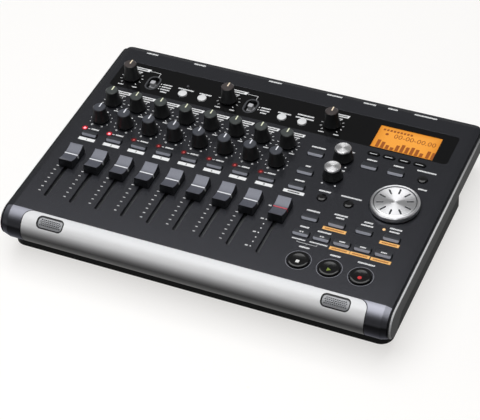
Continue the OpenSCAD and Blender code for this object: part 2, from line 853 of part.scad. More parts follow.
module jack_sockets() {
    color("#1d1e20") {
        for (x = jack_spots) jack_socket(x, jack_nose_r, jack_nut_r, jack_bore_r, jack_body_w);
        jack_socket(remote_x, remote_nose_r, remote_nut_r, remote_bore_r, remote_body_w);
        power_inlet();
    }
}

module line_out_sockets() {
    pin_bore_r = 1.7;
    lip = 1.2;
    y0 = rear_face_y - socket_depth;
    y1 = y_rear + socket_reach;
    color("#c8b070") for (side = [-1, 1]) let (x = line_out_x + side * line_out_pitch / 2) difference() {
        union() {
            rearward(x, y0, y1, line_out_neck_r);
            rearward(x, rear_face_y + seat_gap, y1, line_out_r);
            rearward(x, y0, rear_face_y - rear_t - seat_gap, line_out_r + lip);
        }
        rearward(x, y0 + socket_floor, y1 + cut, pin_bore_r);
    }
}

module indicator_leds() {
    color("#c03030") at(lamp_spots) {
        translate([0, 0, board_z]) cylinder(r = led_r, h = panel_z + led_rise - led_r - board_z);
        translate([0, 0, panel_z + led_rise - led_r]) sphere(led_r);
    }
}

module feet() {
    chamfer = 1;
    color("#101010") at([for (p = foot_places) [p.x, row(p.y)]]) rotate_extrude()
        polygon([[0, 0], [foot_r - chamfer, 0], [foot_r, chamfer], [foot_r, foot_h], [0, foot_h]]);
}

module screws() {
    cross_w = 0.9;
    cross_l = 3.2;
    color("#9a9da0") at([for (p = post_places) [p.x, row(p.y)]]) translate([0, 0, foot_h]) difference() {
        union() {
            cylinder(r = screw_head_r, h = screw_head_h);
            cylinder(r = screw_r, h = screw_head_h + screw_l);
        }
        for (a = [0, 90]) rotate(a) cube([cross_l, cross_w, 2 * cross_w], center = true);
    }
}

// Upright outline that narrows upwards by a draft on each side
module drafted(w, h, draft) {
    polygon([[-w / 2, 0], [w / 2, 0], [w / 2 - draft, h], [draft - w / 2, h]]);
}

// Fader: saddle-topped cap with draft, a marker rib in the saddle and the lever below
module fader(x) {
    draft = 0.6;
    rib_w = 1.1;
    rib_h = 0.3;
    rest_y = row(slot_front) + slide_gap + lever_l / 2 + fader_rest;
    base_z = panel_z + cap_gap;
    saddle_r = ((cap_l / 2 - draft) ^ 2 + cap_dip ^ 2) / (2 * cap_dip);
    valley = cap_h - cap_dip;
    color("#3b3d42") translate([x, rest_y, 0]) {
        intersection() {
            translate([-cap_w / 2, 0, base_z]) rotate([90, 0, 90]) linear_extrude(cap_w) union() {
                difference() {
                    drafted(cap_l, cap_h, draft);
                    translate([0, valley + saddle_r]) circle(saddle_r, $fn = 96);
                }
                translate([-rib_w / 2, 0]) square([rib_w, valley + rib_h]);
            }
            translate([0, cap_l / 2, base_z]) rotate([90, 0, 0]) linear_extrude(cap_l)
                drafted(cap_w, cap_h, draft);
        }
        translate([-lever_t / 2, -lever_l / 2, board_z + board_t + slide_gap])
            cube([lever_t, lever_l, base_z - board_z - board_t]);
    }
}

// Turning knob on its shaft: a flared skirt that runs up in a hollow curve to a straight grip, and a
// pointer groove in the top that starts towards the rear
module knob(spot, base_r, top_r, h) {
    foot = 0.5;
    skirt = 1.9;
    crown = 0.6;
    groove_w = 0.9;
    groove_d = 0.3;
    steps = 6;
    flare = [for (i = [0 : steps]) let (t = i / steps)
        [top_r + (base_r - top_r) * (1 - t) ^ 2, skirt + t * (h - crown - skirt)]];
    color("#1c1d1f") translate([spot.x, spot.y, panel_z]) difference() {
        union() {
            rotate_extrude() polygon(concat(
                [[0, cap_gap], [base_r - foot, cap_gap], [base_r, cap_gap + foot]],
                flare, [[top_r - crown, h], [0, h]]));
            translate([0, 0, board_z + pot_h - pot_grip - panel_z])
                cylinder(r = shaft_r, h = panel_z - board_z - pot_h + pot_grip + 2 * cap_gap);
        }
        translate([-groove_w / 2, crown, h - groove_d]) cube([groove_w, top_r - 2 * crown, cut]);
    }
}

module data_wheel() {
    rim_in = wheel_r - 2;
    rim_round = 0.8;
    foot = 0.5;
    groove = 0.5;
    slot_in = 7.9;
    slot_out = 13.2;
    finger_w = 1.3;
    first_slot = 20;
    slots = 10;
    color("#c9ccd1") at([wheel_spot]) translate([0, 0, panel_z]) difference() {
        union() {
            rotate_extrude() polygon([[0, 0], [wheel_r - foot, 0], [wheel_r, foot],
                [wheel_r, wheel_h - rim_round], [wheel_r - rim_round, wheel_h], [rim_in, wheel_h],
                [rim_in, wheel_h - groove], [rim_in - groove, wheel_h - groove],
                [rim_in - 2 * groove, wheel_h - groove / 2], [0, wheel_h - groove]]);
            translate([0, 0, board_z + pot_h - pot_grip - panel_z])
                cylinder(r = shaft_r, h = panel_z - board_z - pot_h + pot_grip + foot);
        }
        for (i = [0 : slots - 1]) rotate(first_slot + i * 360 / slots)
            translate([(slot_in + slot_out) / 2, 0, wheel_h - 2 * groove])
                linear_extrude(2 * cut) racetrack(slot_out - slot_in, finger_w);
    }
}

// Flange and stem that every key has under the panel
module key_foot(spots) {
    stem_r = 1.2;
    at(spots) {
        slab(under_z - seat_gap - flange_t, under_z - seat_gap) children();
        slab(under_z - seat_gap - flange_t - stem_l, under_z - seat_gap) circle(stem_r);
    }
}

// Rectangular keys with a bevelled front edge
module bevel_keys(spots, d) {
    bevel = 1.3;
    lip = 0.3;
    at(spots) intersection() {
        slab(under_z - seat_gap - flange_t, panel_z + key_h) children();
        translate([-key_w, 0, panel_z]) rotate([90, 0, 90]) linear_extrude(2 * key_w)
            polygon([[-d, -2 * wall], [d, -2 * wall], [d, key_h - lip], [d / 2 - lip, key_h],
                [bevel - d / 2, key_h], [-d / 2, key_h - bevel], [-d, key_h - bevel]]);
    }
}

module arm_keys() {
    color("#5d6066") {
        bevel_keys(arm_spots, arm_key_d) arm_plan(0);
        key_foot(arm_spots) arm_plan(2 * slide_gap);
    }
}

module panel_keys() {
    color("#45484d") {
        bevel_keys(panel_spots, key_d) panel_plan(0);
        key_foot(panel_spots) panel_plan(2 * slide_gap);
    }
}

module search_keys() {
    color("#45484d") {
        bevel_keys(search_spots, key_d) panel_plan(0);
        key_foot(search_spots) panel_plan(2 * slide_gap);
    }
}

// Low keys with a flat top
module low_keys(spots, rise) {
    at(spots) slab(under_z - seat_gap - flange_t, panel_z + rise) children();
}

module function_keys() {
    color("#26282b") {
        low_keys(function_spots, low_key_h) function_plan(0);
        key_foot(function_spots) function_plan(2 * slide_gap);
    }
}

module round_keys() {
    color("#0f0f10") {
        low_keys(round_spots, low_key_h) round_plan(0);
        key_foot(round_spots) round_plan(2 * slide_gap);
    }
}

module source_keys() {
    color("#d8d8d4") {
        low_keys(source_spots, low_key_h) round_plan(0);
        key_foot(source_spots) round_plan(2 * slide_gap);
    }
}

// Large transport key with a dished top
module transport_key(i) {
    dish = 0.5;
    dish_r = (transport_r ^ 2 + dish ^ 2) / (2 * dish);
    color("#111214") {
        difference() {
            low_keys([transport_spots[i]], transport_h) transport_plan(0);
            at([transport_spots[i]]) translate([0, 0, panel_z + transport_h - dish + dish_r])
                sphere(dish_r, $fn = 128);
        }
        key_foot([transport_spots[i]]) transport_plan(2 * slide_gap);
    }
}

// Three-position input switch: a slider plate with an upright lever in an oval well
module input_switch(i) {
    plate_t = 0.8;
    plate_side = 1;
    lever_corner = 0.6;
    z0 = switch_z + seat_gap;
    color("#e8e8e6") at([switch_spots[i]]) {
        slab(z0, z0 + plate_t) square([switch_w - 2 * plate_side, switch_lever + plate_side], center = true);
        slab(z0, panel_z + switch_rise) rounded(switch_lever, switch_lever, lever_corner);
    }
}

// Power switch: a lever that slides sideways in the rear panel's slot, standing at its left stop
module power_switch() {
    plate = 1.2;
    plate_w = power_slot_w + power_travel;
    y_in = rear_face_y - rear_t - seat_gap;
    color("#0d0d0e") translate([-power_travel / 2, 0, 0]) {
        translate([power_x - plate_w / 2, y_in - plate, socket_z - power_slot_h])
            cube([plate_w, plate, 2 * power_slot_h]);
        translate([power_x - power_lever_w / 2, y_in - plate, socket_z - power_slot_h / 2 + slide_gap])
            cube([power_lever_w, plate + rear_t + power_rise, power_slot_h - 2 * slide_gap]);
    }
}

top_case();
bottom_case();
front_panel();
side_cheeks();
rear_panel();
control_strip();
display_module();
main_board();
potentiometers();
mic_grilles();
mic_capsules();
xlr_sockets();
jack_sockets();
line_out_sockets();
indicator_leds();
feet();
screws();
for (i = [0 : channels]) fader(fader_spots[i]);
for (i = [0 : channels - 1]) {
    knob(effect_spots[i], knob_base_r, knob_top_r, knob_h);
    knob(pan_spots[i], knob_base_r, knob_top_r, knob_h);
}
for (i = [0 : 2]) knob(gain_spots[i], knob_base_r, knob_top_r, gain_knob_h);
for (i = [0 : 1]) knob(eq_spots[i], eq_base_r, eq_top_r, eq_knob_h);
data_wheel();
for (i = [0 : 2]) transport_key(i);
for (i = [0 : 1]) input_switch(i);
power_switch();
arm_keys();
panel_keys();
search_keys();
function_keys();
round_keys();
source_keys();
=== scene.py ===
# %% [markdown]
# # Desktop multitrack recorder
# The real object is a flat moulded desk: a charcoal top case full of faders, knobs and keys, a silver
# front rolled over the nose, and a black tray below. The CAD model already holds every piece at its
# real size and place, so this lesson adds what CAD leaves out: finishes, printed marks, lamps, light.

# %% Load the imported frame
import math

import bmesh
import bpy
from mathutils import Matrix, Vector


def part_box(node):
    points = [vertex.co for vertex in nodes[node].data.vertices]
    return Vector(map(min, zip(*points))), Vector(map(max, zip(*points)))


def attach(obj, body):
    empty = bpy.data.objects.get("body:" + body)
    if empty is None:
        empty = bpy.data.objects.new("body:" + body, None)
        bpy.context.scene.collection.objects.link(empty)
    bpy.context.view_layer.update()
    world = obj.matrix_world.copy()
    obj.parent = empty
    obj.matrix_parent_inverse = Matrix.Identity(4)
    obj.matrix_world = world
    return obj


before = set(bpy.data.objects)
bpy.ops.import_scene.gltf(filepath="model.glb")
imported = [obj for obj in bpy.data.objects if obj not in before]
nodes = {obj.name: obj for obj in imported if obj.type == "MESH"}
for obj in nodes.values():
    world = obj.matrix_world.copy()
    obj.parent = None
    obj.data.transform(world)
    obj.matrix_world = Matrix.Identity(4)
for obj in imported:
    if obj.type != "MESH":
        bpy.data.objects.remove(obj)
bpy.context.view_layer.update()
scene = bpy.context.scene
MM = 0.001

# %% [markdown]
# ## Camera
# The photograph was taken from the front right, well above the panel, with a long lens. A camera can
# be aimed by an empty and a constraint, but a direction worked out from three angles keeps the same
# view in every session: a turn about the upright, a rise above the table and a small roll.

# %% Aim the camera
view_turn = math.radians(27.074)
view_rise = math.radians(43.509)
view_roll = math.radians(-4.859)
view_distance = 1165.8 * MM
view_target = Vector((13.52, -41.51, 38.5)) * MM

toward_camera = Vector((math.sin(view_turn) * math.cos(view_rise),
                        -math.cos(view_turn) * math.cos(view_rise), math.sin(view_rise)))
level_right = Vector((math.cos(view_turn), math.sin(view_turn), 0))
level_up = toward_camera.cross(level_right)
tilt_right = math.cos(view_roll) * level_right + math.sin(view_roll) * level_up
tilt_up = math.cos(view_roll) * level_up - math.sin(view_roll) * level_right

camera = bpy.data.objects.new("camera", bpy.data.cameras.new("camera"))
camera.data.sensor_fit = "HORIZONTAL"
camera.data.sensor_width = 36
camera.data.lens = 126.21
camera.matrix_world = (Matrix.Translation(view_target + view_distance * toward_camera)
                       @ Matrix((tilt_right, tilt_up, toward_camera)).transposed().to_4x4())
scene.collection.objects.link(camera)
scene.camera = camera
print("camera at", [round(c / MM) for c in camera.location], "mm")

# %% [markdown]
# ## Tools for finishes
# Every finish here is a Principled surface whose colour, roughness and relief come from noise on
# Object coordinates. Written out by hand, that is a dozen nodes each time, so a few small functions
# hold the common parts, and each finish below only says what is special about it. Colours are given
# as the display shows them, from 0 to 255, because that is how they are read off a photograph.


# %% Colour and node helpers
def shade(red, green, blue):
    """A display colour as the linear colour that shaders work in."""
    linear = [((c / 255 + 0.055) / 1.055) ** 2.4 if c > 10 else c / 255 / 12.92 for c in (red, green, blue)]
    return (*linear, 1)


def put(tree, kind, inputs=None, **settings):
    """Adds one node, with its settings and its input values or links."""
    node = tree.nodes.new(kind)
    for name, value in settings.items():
        setattr(node, name, value)
    for name, value in (inputs or {}).items():
        if isinstance(value, bpy.types.NodeSocket):
            tree.links.new(value, node.inputs[name])
        else:
            node.inputs[name].default_value = value
    return node


def noise(tree, vector, scale, detail=2):
    """Fine noise on some coordinates."""
    return put(tree, "ShaderNodeTexNoise", {"Vector": vector, "Scale": scale, "Detail": detail}).outputs[0]


def sockets(material):
    """The inputs of a finish's surface."""
    return material.node_tree.nodes["Principled BSDF"].inputs


print("node helpers ready")


# %% The common finish
cloud_scale, cloud_detail = 60, 3
gloss_spread, least_rough = 0.08, 0.02
grain_height = 0.1


def finish(name, colour, rough, specular=0.3, grain=0.5, relief=0.1, cloud=0.12, metal=0.0,
           soft_edge=0.15):
    """A surface with fine grain, faint clouds of tone, uneven gloss and slightly rounded edges."""
    material = bpy.data.materials.new(name)
    material.use_nodes = True
    tree = material.node_tree
    surface = sockets(material)
    surface["Metallic"].default_value = metal
    surface["Specular IOR Level"].default_value = specular
    place = put(tree, "ShaderNodeTexCoord").outputs["Object"]
    tone = noise(tree, place, cloud_scale, cloud_detail)
    fine = noise(tree, place, 1 / (grain * MM))
    darker = tuple(c * (1 - cloud) for c in colour[:3]) + (1,)
    lighter = tuple(min(1, c * (1 + cloud)) for c in colour[:3]) + (1,)
    clouds = put(tree, "ShaderNodeMix", {0: tone, 6: darker, 7: lighter}, data_type="RGBA")
    smoothest = max(least_rough, rough - gloss_spread)
    gloss = put(tree, "ShaderNodeMapRange", {0: fine, 3: smoothest, 4: rough + gloss_spread})
    edge = put(tree, "ShaderNodeBevel", {"Radius": soft_edge * MM}, samples=4)
    bump = put(tree, "ShaderNodeBump", {"Strength": relief, "Distance": grain_height * MM, "Height": fine,
                                        "Normal": edge.outputs[0]})
    tree.links.new(clouds.outputs[2], surface["Base Color"])
    tree.links.new(gloss.outputs[0], surface["Roughness"])
    tree.links.new(bump.outputs[0], surface["Normal"])
    return material


print("common finish ready")


# %% Dressing a CAD node
def dress(material, *names):
    """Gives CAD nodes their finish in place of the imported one."""
    for name in names:
        nodes[name].data.materials.clear()
        nodes[name].data.materials.append(material)


print(len(nodes), "nodes to dress")

# %% [markdown]
# ## The case
# The top case and tray are moulded plastic with a fine spark-eroded grain. The strip along the rear
# is the same black, polished. Polish is only a matter of roughness and relief, so they share the
# common finish.

# %% Case, tray and gloss strip
case_black = finish("case_black", shade(24, 25, 28), 0.24, specular=0.9, grain=0.35, relief=0.1,
                    soft_edge=0.4)
sockets(case_black)["Specular Tint"].default_value = (0.88, 0.89, 1, 1)
tray_black = finish("tray_black", shade(22, 24, 24), 0.55, specular=0.06, grain=0.5, relief=0.2)
rear_black = finish("rear_black", shade(24, 25, 26), 0.5, specular=0.3, grain=0.4, relief=0.2)
gloss_black = finish("gloss_black", shade(15, 15, 16), 0.12, specular=0.25, grain=3, relief=0.01)
dress(case_black, "top_case")
dress(tray_black, "bottom_case")
dress(rear_black, "rear_panel")
dress(gloss_black, "control_strip")
print("case dressed")

# %% [markdown]
# ## Paint by place and direction
# Where the case rolls over the nose it is metallic, with a painted highlight where it looks up and painted
# shade below.
# A second mesh or painted vertices could hold such a change of colour. A mask is sharper from close up:
# a number that is 1 where the new colour goes, worked out from a point's place or from the way its
# surface looks. A few helpers make masks and lay a colour over the finish below.


# %% Mask helpers
def coordinate(tree, axis, kind="Object"):
    """One axis of the Object coordinates, or of another kind, such as the surface's own direction."""
    source = put(tree, "ShaderNodeTexCoord").outputs[kind]
    return put(tree, "ShaderNodeSeparateXYZ", {0: source}).outputs[axis]


def maths(tree, operation, first, second=0, third=0):
    """The result of one Math node."""
    return put(tree, "ShaderNodeMath", {0: first, 1: second, 2: third}, operation=operation).outputs[0]


def ramp(tree, value, low, high, at_low, at_high):
    """A number that runs evenly from one level to another between two values."""
    return put(tree, "ShaderNodeMapRange", {0: value, 1: low, 2: high, 3: at_low, 4: at_high}).outputs[0]


def lay_over(material, mask, colour, socket="Base Color"):
    """Paints a colour, or a number, over what a socket already has, where the mask is 1."""
    tree = material.node_tree
    target = sockets(material)[socket]
    if target.type == "RGBA":
        blend = put(tree, "ShaderNodeMix", {0: mask, 7: colour}, data_type="RGBA")
        under, result = blend.inputs[6], blend.outputs[2]
    else:
        blend = put(tree, "ShaderNodeMix", {0: mask, 3: colour}, data_type="FLOAT")
        under, result = blend.inputs[2], blend.outputs[0]
    if target.is_linked:
        tree.links.new(target.links[0].from_socket, under)
    else:
        under.default_value = target.default_value
    tree.links.new(result, target)


print("mask helpers ready")

# %% Painted highlight and shade on the nose
nose_y, nose_z, nose_start = -91, 25, 0.3
case_tree = case_black.node_tree
on_nose = maths(case_tree, "LESS_THAN", coordinate(case_tree, "Y"), (nose_y - nose_start) * MM)
nose_painted_highlight = ramp(case_tree, coordinate(case_tree, "Z", "Normal"), 0.3, 1.0, 0.0, 1.0)
nose_painted_highlight = maths(case_tree, "MULTIPLY", on_nose, nose_painted_highlight)
# painted light on the nose: painted shade below, and a painted highlight where the surface looks up
lay_over(case_black, on_nose, shade(12, 12, 13))
lay_over(case_black, nose_painted_highlight, shade(146, 147, 156))
lay_over(case_black, on_nose, 0.95, "Metallic")
lay_over(case_black, on_nose, 0.42, "Roughness")
print("nose axis at", nose_y, nose_z)

# %% [markdown]
# ## The silver front
# The rolled front is painted metal: satin, with a faint grain along its length. Its colour also holds
# painted light, set by the surface's own direction: painted shade towards the floor, and a slightly darker
# top so the bright band sits on the upper slope. A band of painted shade runs round the two openings, where
# a perforated sheet lies in front of each microphone.


# %% Scratched metal
scratch_scale, scratch_spread = 2500, 0.06


def brushed(name, colour, rough, along, metal=1.0):
    """Metal with fine scratches that run along one axis."""
    material = finish(name, colour, rough, specular=0.5, grain=0.4, relief=0.04, cloud=0.05, metal=metal)
    tree = material.node_tree
    place = put(tree, "ShaderNodeTexCoord").outputs["Object"]
    stretch = put(tree, "ShaderNodeMapping", {"Vector": place, "Scale": along}).outputs[0]
    scratch = noise(tree, stretch, scratch_scale)
    finest, coarsest = rough - scratch_spread, rough + scratch_spread
    gloss = put(tree, "ShaderNodeMapRange", {0: scratch, 3: finest, 4: coarsest}).outputs[0]
    tree.links.new(gloss, sockets(material)["Roughness"])
    return material


print("scratches every", round(1 / scratch_scale / MM, 2), "mm")

# %% Silver front
front_silver = brushed("front_silver", shade(248, 248, 249), 0.4, (0.02, 1, 1), metal=0.0)
front_tree = front_silver.node_tree
sockets(front_silver)["Specular IOR Level"].default_value = 0.3
upward = coordinate(front_tree, "Z", "Normal")
# painted shade towards the floor, and a slightly darker top, so the painted brightness peaks on the upper
# slope
lay_over(front_silver, ramp(front_tree, upward, 0.0, 0.6, 1.0, 0.0), shade(46, 46, 48))
lay_over(front_silver, ramp(front_tree, upward, 0.75, 1.0, 0.0, 1.0), shade(214, 215, 217))
lay_over(front_silver, ramp(front_tree, upward, 0.6, 0.9, 0.0, 1.0), 0.15, "Metallic")
dress(front_silver, "front_panel")
print("front dressed")

# %% Painted shade round the microphones
mic_x, mic_w, mic_h, mic_corner, recess_shade_w = 106.5, 19, 7.8, 2.7, 0.9
mic_lean = math.radians(32)
from_centre = maths(front_tree, "ABSOLUTE", coordinate(front_tree, "X"))
beside = maths(front_tree, "SUBTRACT", from_centre, mic_x * MM)
rearward = maths(front_tree, "MULTIPLY", coordinate(front_tree, "Y"), math.cos(mic_lean))
climb = maths(front_tree, "MULTIPLY_ADD", coordinate(front_tree, "Z"), math.sin(mic_lean), rearward)
origin = nose_y * math.cos(mic_lean) + nose_z * math.sin(mic_lean)
climb = maths(front_tree, "SUBTRACT", climb, origin * MM)
past = []
for offset, half in ((beside, mic_w / 2), (climb, mic_h / 2)):
    away = maths(front_tree, "ABSOLUTE", offset)
    inside = maths(front_tree, "SUBTRACT", away, (half - mic_corner) * MM)
    past.append(maths(front_tree, "POWER", maths(front_tree, "MAXIMUM", inside, 0), 2))
reach = maths(front_tree, "SQRT", maths(front_tree, "ADD", *past))
painted_recess_shade = maths(front_tree, "LESS_THAN", reach, (mic_corner + recess_shade_w) * MM)
# the band round each opening is painted shade, standing in for the shade of the recess
lay_over(front_silver, painted_recess_shade, shade(20, 20, 21))
lay_over(front_silver, painted_recess_shade, 0.0, "Metallic")
print("painted_recess_shade", recess_shade_w, "mm wide")

# %% Microphone sheets
grille_steel = brushed("grille_steel", shade(158, 159, 162), 0.4, (1, 1, 1), metal=0.3)
grille_tree = grille_steel.node_tree
sheet_axis = (0, -math.sin(mic_lean), math.cos(mic_lean))
looks = put(grille_tree, "ShaderNodeTexCoord").outputs["Normal"]
out_of_nose = put(grille_tree, "ShaderNodeVectorMath", {0: looks, 1: sheet_axis}, operation="DOT_PRODUCT")
shaded_hole_wall = maths(grille_tree, "LESS_THAN", out_of_nose.outputs["Value"], 0.6)
# the hole walls are painted black: painted shade inside the holes
lay_over(grille_steel, shaded_hole_wall, shade(10, 10, 11))
lay_over(grille_steel, shaded_hole_wall, 0.0, "Metallic")
dress(grille_steel, "mic_grilles")
print("sheets dressed")

# %% [markdown]
# ## Side cheeks
# A thin grey plate closes each side, and its outer edge has a narrow bevel with a painted highlight.
# The bevel is part of the CAD node. It is the only face near the outer side that looks both up and
# sideways, so these two conditions find it, and the painted highlight fades towards the rear.

# %% Side cheeks with a painted highlight on their bevel
cheek_grey = finish("cheek_grey", shade(40, 41, 43), 0.42, specular=0.05, grain=0.4, relief=0.1)
cheek_tree = cheek_grey.node_tree
cheek_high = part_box("side_cheeks")[1] / MM
bevel_w = 1.05
sideways = maths(cheek_tree, "ABSOLUTE", coordinate(cheek_tree, "X", "Normal"))
from_middle = maths(cheek_tree, "ABSOLUTE", coordinate(cheek_tree, "X"))
outer = maths(cheek_tree, "GREATER_THAN", from_middle, (cheek_high.x - bevel_w) * MM)
slanted = maths(cheek_tree, "MULTIPLY", maths(cheek_tree, "COMPARE", sideways, 0.7, 0.2), outer)
highlight_fade = ramp(cheek_tree, coordinate(cheek_tree, "Y"), 0, cheek_high.y * MM, 1.0, 0.2)
# the bevel's brightness is a painted highlight, fading towards the rear
lay_over(cheek_grey, maths(cheek_tree, "MULTIPLY", slanted, highlight_fade), shade(246, 246, 247))
dress(cheek_grey, "side_cheeks")
print("cheeks dressed, bevel", bevel_w, "mm")

# %% [markdown]
# ## Inside and underneath
# Most of these pieces hardly show, but they show from other sides and with the sockets open, so the
# board, the controls under the panel, the feet and the screws get honest finishes too.


# %% Hidden pieces, feet and screws
def middle(name):
    """A node's middle, in millimetres."""
    low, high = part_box(name)
    return (low + high) / 2 / MM


board_green = finish("board_green", shade(38, 92, 58), 0.4, specular=0.4, grain=1.5, relief=0.05)
control_grey = finish("control_grey", shade(120, 122, 125), 0.4, grain=0.8, relief=0.05)
capsule_metal = brushed("capsule_metal", shade(44, 45, 47), 0.35, (1, 1, 1), metal=0.0)
foot_rubber = finish("foot_rubber", shade(24, 24, 24), 0.85, specular=0.2, grain=0.7, relief=0.4)
screw_steel = brushed("screw_steel", shade(150, 152, 155), 0.3, (1, 1, 1))
board_tree = board_green.node_tree
board_middle = middle("main_board").z
above_board = maths(board_tree, "GREATER_THAN", coordinate(board_tree, "Z"), board_middle * MM)
lay_over(board_green, above_board, shade(24, 24, 25))
dress(board_green, "main_board")
dress(control_grey, "potentiometers")
dress(capsule_metal, "mic_capsules")
dress(foot_rubber, "feet")
dress(screw_steel, "screws")
print("hidden pieces dressed")

# %% [markdown]
# ## Rear sockets
# The jacks have nickel ring nuts outside a black body, and the nuts are the only part of that node
# beyond the rear panel's face, apart from the power inlet. A mask on depth and width tells them apart
# without a second mesh. The line-out barrels are plated brass.


# %% Sockets and power switch
def between(tree, axis, low, high):
    """1 where a place lies between two coordinates, given in millimetres."""
    centre, half = (low + high) / 2 * MM, (high - low) / 2 * MM
    return maths(tree, "COMPARE", coordinate(tree, axis), centre, half)


rear_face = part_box("rear_panel")[1].y / MM
socket_black = finish("socket_black", shade(28, 28, 30), 0.4, grain=0.6, relief=0.08)
jack_black = finish("jack_black", shade(28, 28, 30), 0.35, grain=0.6, relief=0.05)
jack_tree = jack_black.node_tree
inlet_x = 76.4
nut_reach, inlet_half = 9, 8
outside = between(jack_tree, "Y", rear_face, rear_face + nut_reach)
inlet = between(jack_tree, "X", inlet_x - inlet_half, inlet_x + inlet_half)
nut = maths(jack_tree, "MULTIPLY", outside, maths(jack_tree, "SUBTRACT", 1, inlet))
lay_over(jack_black, nut, shade(190, 190, 188))
lay_over(jack_black, nut, 1.0, "Metallic")
socket_brass = brushed("socket_brass", shade(205, 190, 140), 0.28, (1, 1, 1))
switch_black = finish("switch_black", shade(26, 26, 27), 0.4, grain=0.5, relief=0.1)
dress(socket_black, "xlr_sockets")
dress(jack_black, "jack_sockets")
dress(socket_brass, "line_out_sockets")
dress(switch_black, "power_switch")
print("sockets dressed")

# %% [markdown]
# ## Knobs
# Each knob is smooth black with a grey cap on top, and a pale pointer line runs from its middle to the
# rear. The cap is told from the body by height. The pointer is its own small bar, because it has to
# turn with the knob: it lies over the groove that the CAD knob has in its top.

# %% Knob bodies and caps
panel_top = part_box("top_case")[1].z / MM
channels = range(1, 9)
knob_groups = {
    "effect": ([f"effect_knob_{i}" for i in channels], shade(58, 63, 62), shade(236, 240, 210)),
    "pan": ([f"pan_knob_{i}" for i in channels], shade(60, 63, 71), shade(240, 242, 248)),
    "level": (["input_knob_a", "input_knob_b", "phones_knob"], shade(64, 57, 56), shade(255, 236, 208))}
cap_h = 0.5
for group, (members, cap_colour, _) in knob_groups.items():
    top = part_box(members[0])[1].z / MM
    knob_finish = finish(f"knob_{group}", shade(30, 31, 32), 0.36, specular=0.6, grain=0.4, relief=0.06)
    lay_over(knob_finish, between(knob_finish.node_tree, "Z", top - cap_h, top + 1), cap_colour)
    dress(knob_finish, *members)
print("knob groups", list(knob_groups))


# %% Piece and bar makers
def piece(name, mesh, material, body="chassis"):
    """Turns a bmesh into a named piece that moves with a CAD body."""
    bmesh.ops.recalc_face_normals(mesh, faces=mesh.faces)
    data = bpy.data.meshes.new(name)
    mesh.to_mesh(data)
    mesh.free()
    data.materials.append(material)
    made = bpy.data.objects.new(name, data)
    scene.collection.objects.link(made)
    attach(made, body)


def bar(mesh, x, y, z, width, depth, height, lean=0.0, turn=0.0):
    """Adds a thin block, sizes in millimetres, its foot at z, leaning right by a share of its depth."""
    size = Matrix.Diagonal((width * MM, depth * MM, height * MM, 1))
    shear = Matrix.Identity(4)
    shear[0][1] = lean
    place = Matrix.Translation(Vector((x, y, z + height / 2)) * MM) @ Matrix.Rotation(turn, 4, "Z")
    bmesh.ops.create_cube(mesh, size=1, matrix=place @ shear @ size)


print("piece makers ready")

# %% Pointer lines
line_w, line_t, cap_r = 0.95, 0.06, 4.3
for group, (members, _, line_colour) in knob_groups.items():
    line_finish = finish(f"pointer_{group}", line_colour, 0.4, grain=0.3, relief=0.02, cloud=0.04)
    for name in members:
        spot = middle(name)
        pointer = bmesh.new()
        bar(pointer, spot.x, spot.y + cap_r / 2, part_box(name)[1].z / MM, line_w, cap_r, line_t)
        piece(f"{name}_pointer", pointer, line_finish, name)
print("pointer lines made")

# %% [markdown]
# ## Faders
# A fader cap is a satin grey saddle on black sides, with a pale line across its valley that runs a
# little way down the flanks. The saddle's faces look up and the flanks look sideways, so the surface's
# own direction tells them apart, and two bands of coordinates give the line. The master's is red.


# %% Fader caps
def facing(tree, axis, least):
    """1 where the surface looks along an axis by at least this much."""
    return maths(tree, "GREATER_THAN", coordinate(tree, axis, "Normal"), least)


def fader_finish(name, line_colour):
    """Black flanks, a grey saddle and a coloured line across it."""
    material = finish(name, shade(20, 21, 22), 0.3, specular=1.0, grain=0.35, relief=0.04, soft_edge=0.3)
    tree = material.node_tree
    sockets(material)["Specular Tint"].default_value = (0.88, 0.9, 1, 1)
    lay_over(material, facing(tree, "Z", 0.6), shade(82, 84, 93))
    valley = between(tree, "Y", fader_line - line_half, fader_line + line_half)
    high_up = maths(tree, "GREATER_THAN", coordinate(tree, "Z"), line_foot * MM)
    lay_over(material, maths(tree, "MULTIPLY", valley, high_up), line_colour)
    return material


fader_line, line_half = middle("channel_fader_1").y, 0.55
line_foot = panel_top + 2
dress(fader_finish("fader_grey", shade(236, 238, 242)), *[f"channel_fader_{i}" for i in channels])
dress(fader_finish("fader_master", shade(196, 62, 78)), "master_fader")
print("fader line at y", round(fader_line, 1))

# %% [markdown]
# ## Spun metal
# The data wheel and the tops of the two equaliser knobs are turned on a lathe, which leaves rings
# round the middle. Rings that fine can't be drawn, but they stretch every highlight into bright
# wedges. That is what the shader's anisotropy does, if it is told which way the surface is rough:
# across the rings, so along the line from the axis.


# %% Turned finish
def spun(name, colour, rough, x, y, stretch):
    """Metal turned about an upright axis at x, y in millimetres."""
    material = finish(name, colour, rough, specular=0.5, grain=0.3, relief=0.02, cloud=0.03, metal=1.0)
    tree = material.node_tree
    place = put(tree, "ShaderNodeTexCoord").outputs["Object"]
    flat = put(tree, "ShaderNodeVectorMath", {0: place, 1: (1, 1, 0)}, operation="MULTIPLY").outputs[0]
    from_axis = put(tree, "ShaderNodeVectorMath", {0: flat, 1: Vector((x, y, 0)) * MM},
                    operation="SUBTRACT").outputs[0]
    across_rings = put(tree, "ShaderNodeVectorMath", {0: from_axis}, operation="NORMALIZE").outputs[0]
    sockets(material)["Anisotropic"].default_value = stretch
    tree.links.new(across_rings, sockets(material)["Tangent"])
    return material


print("turned finish ready")


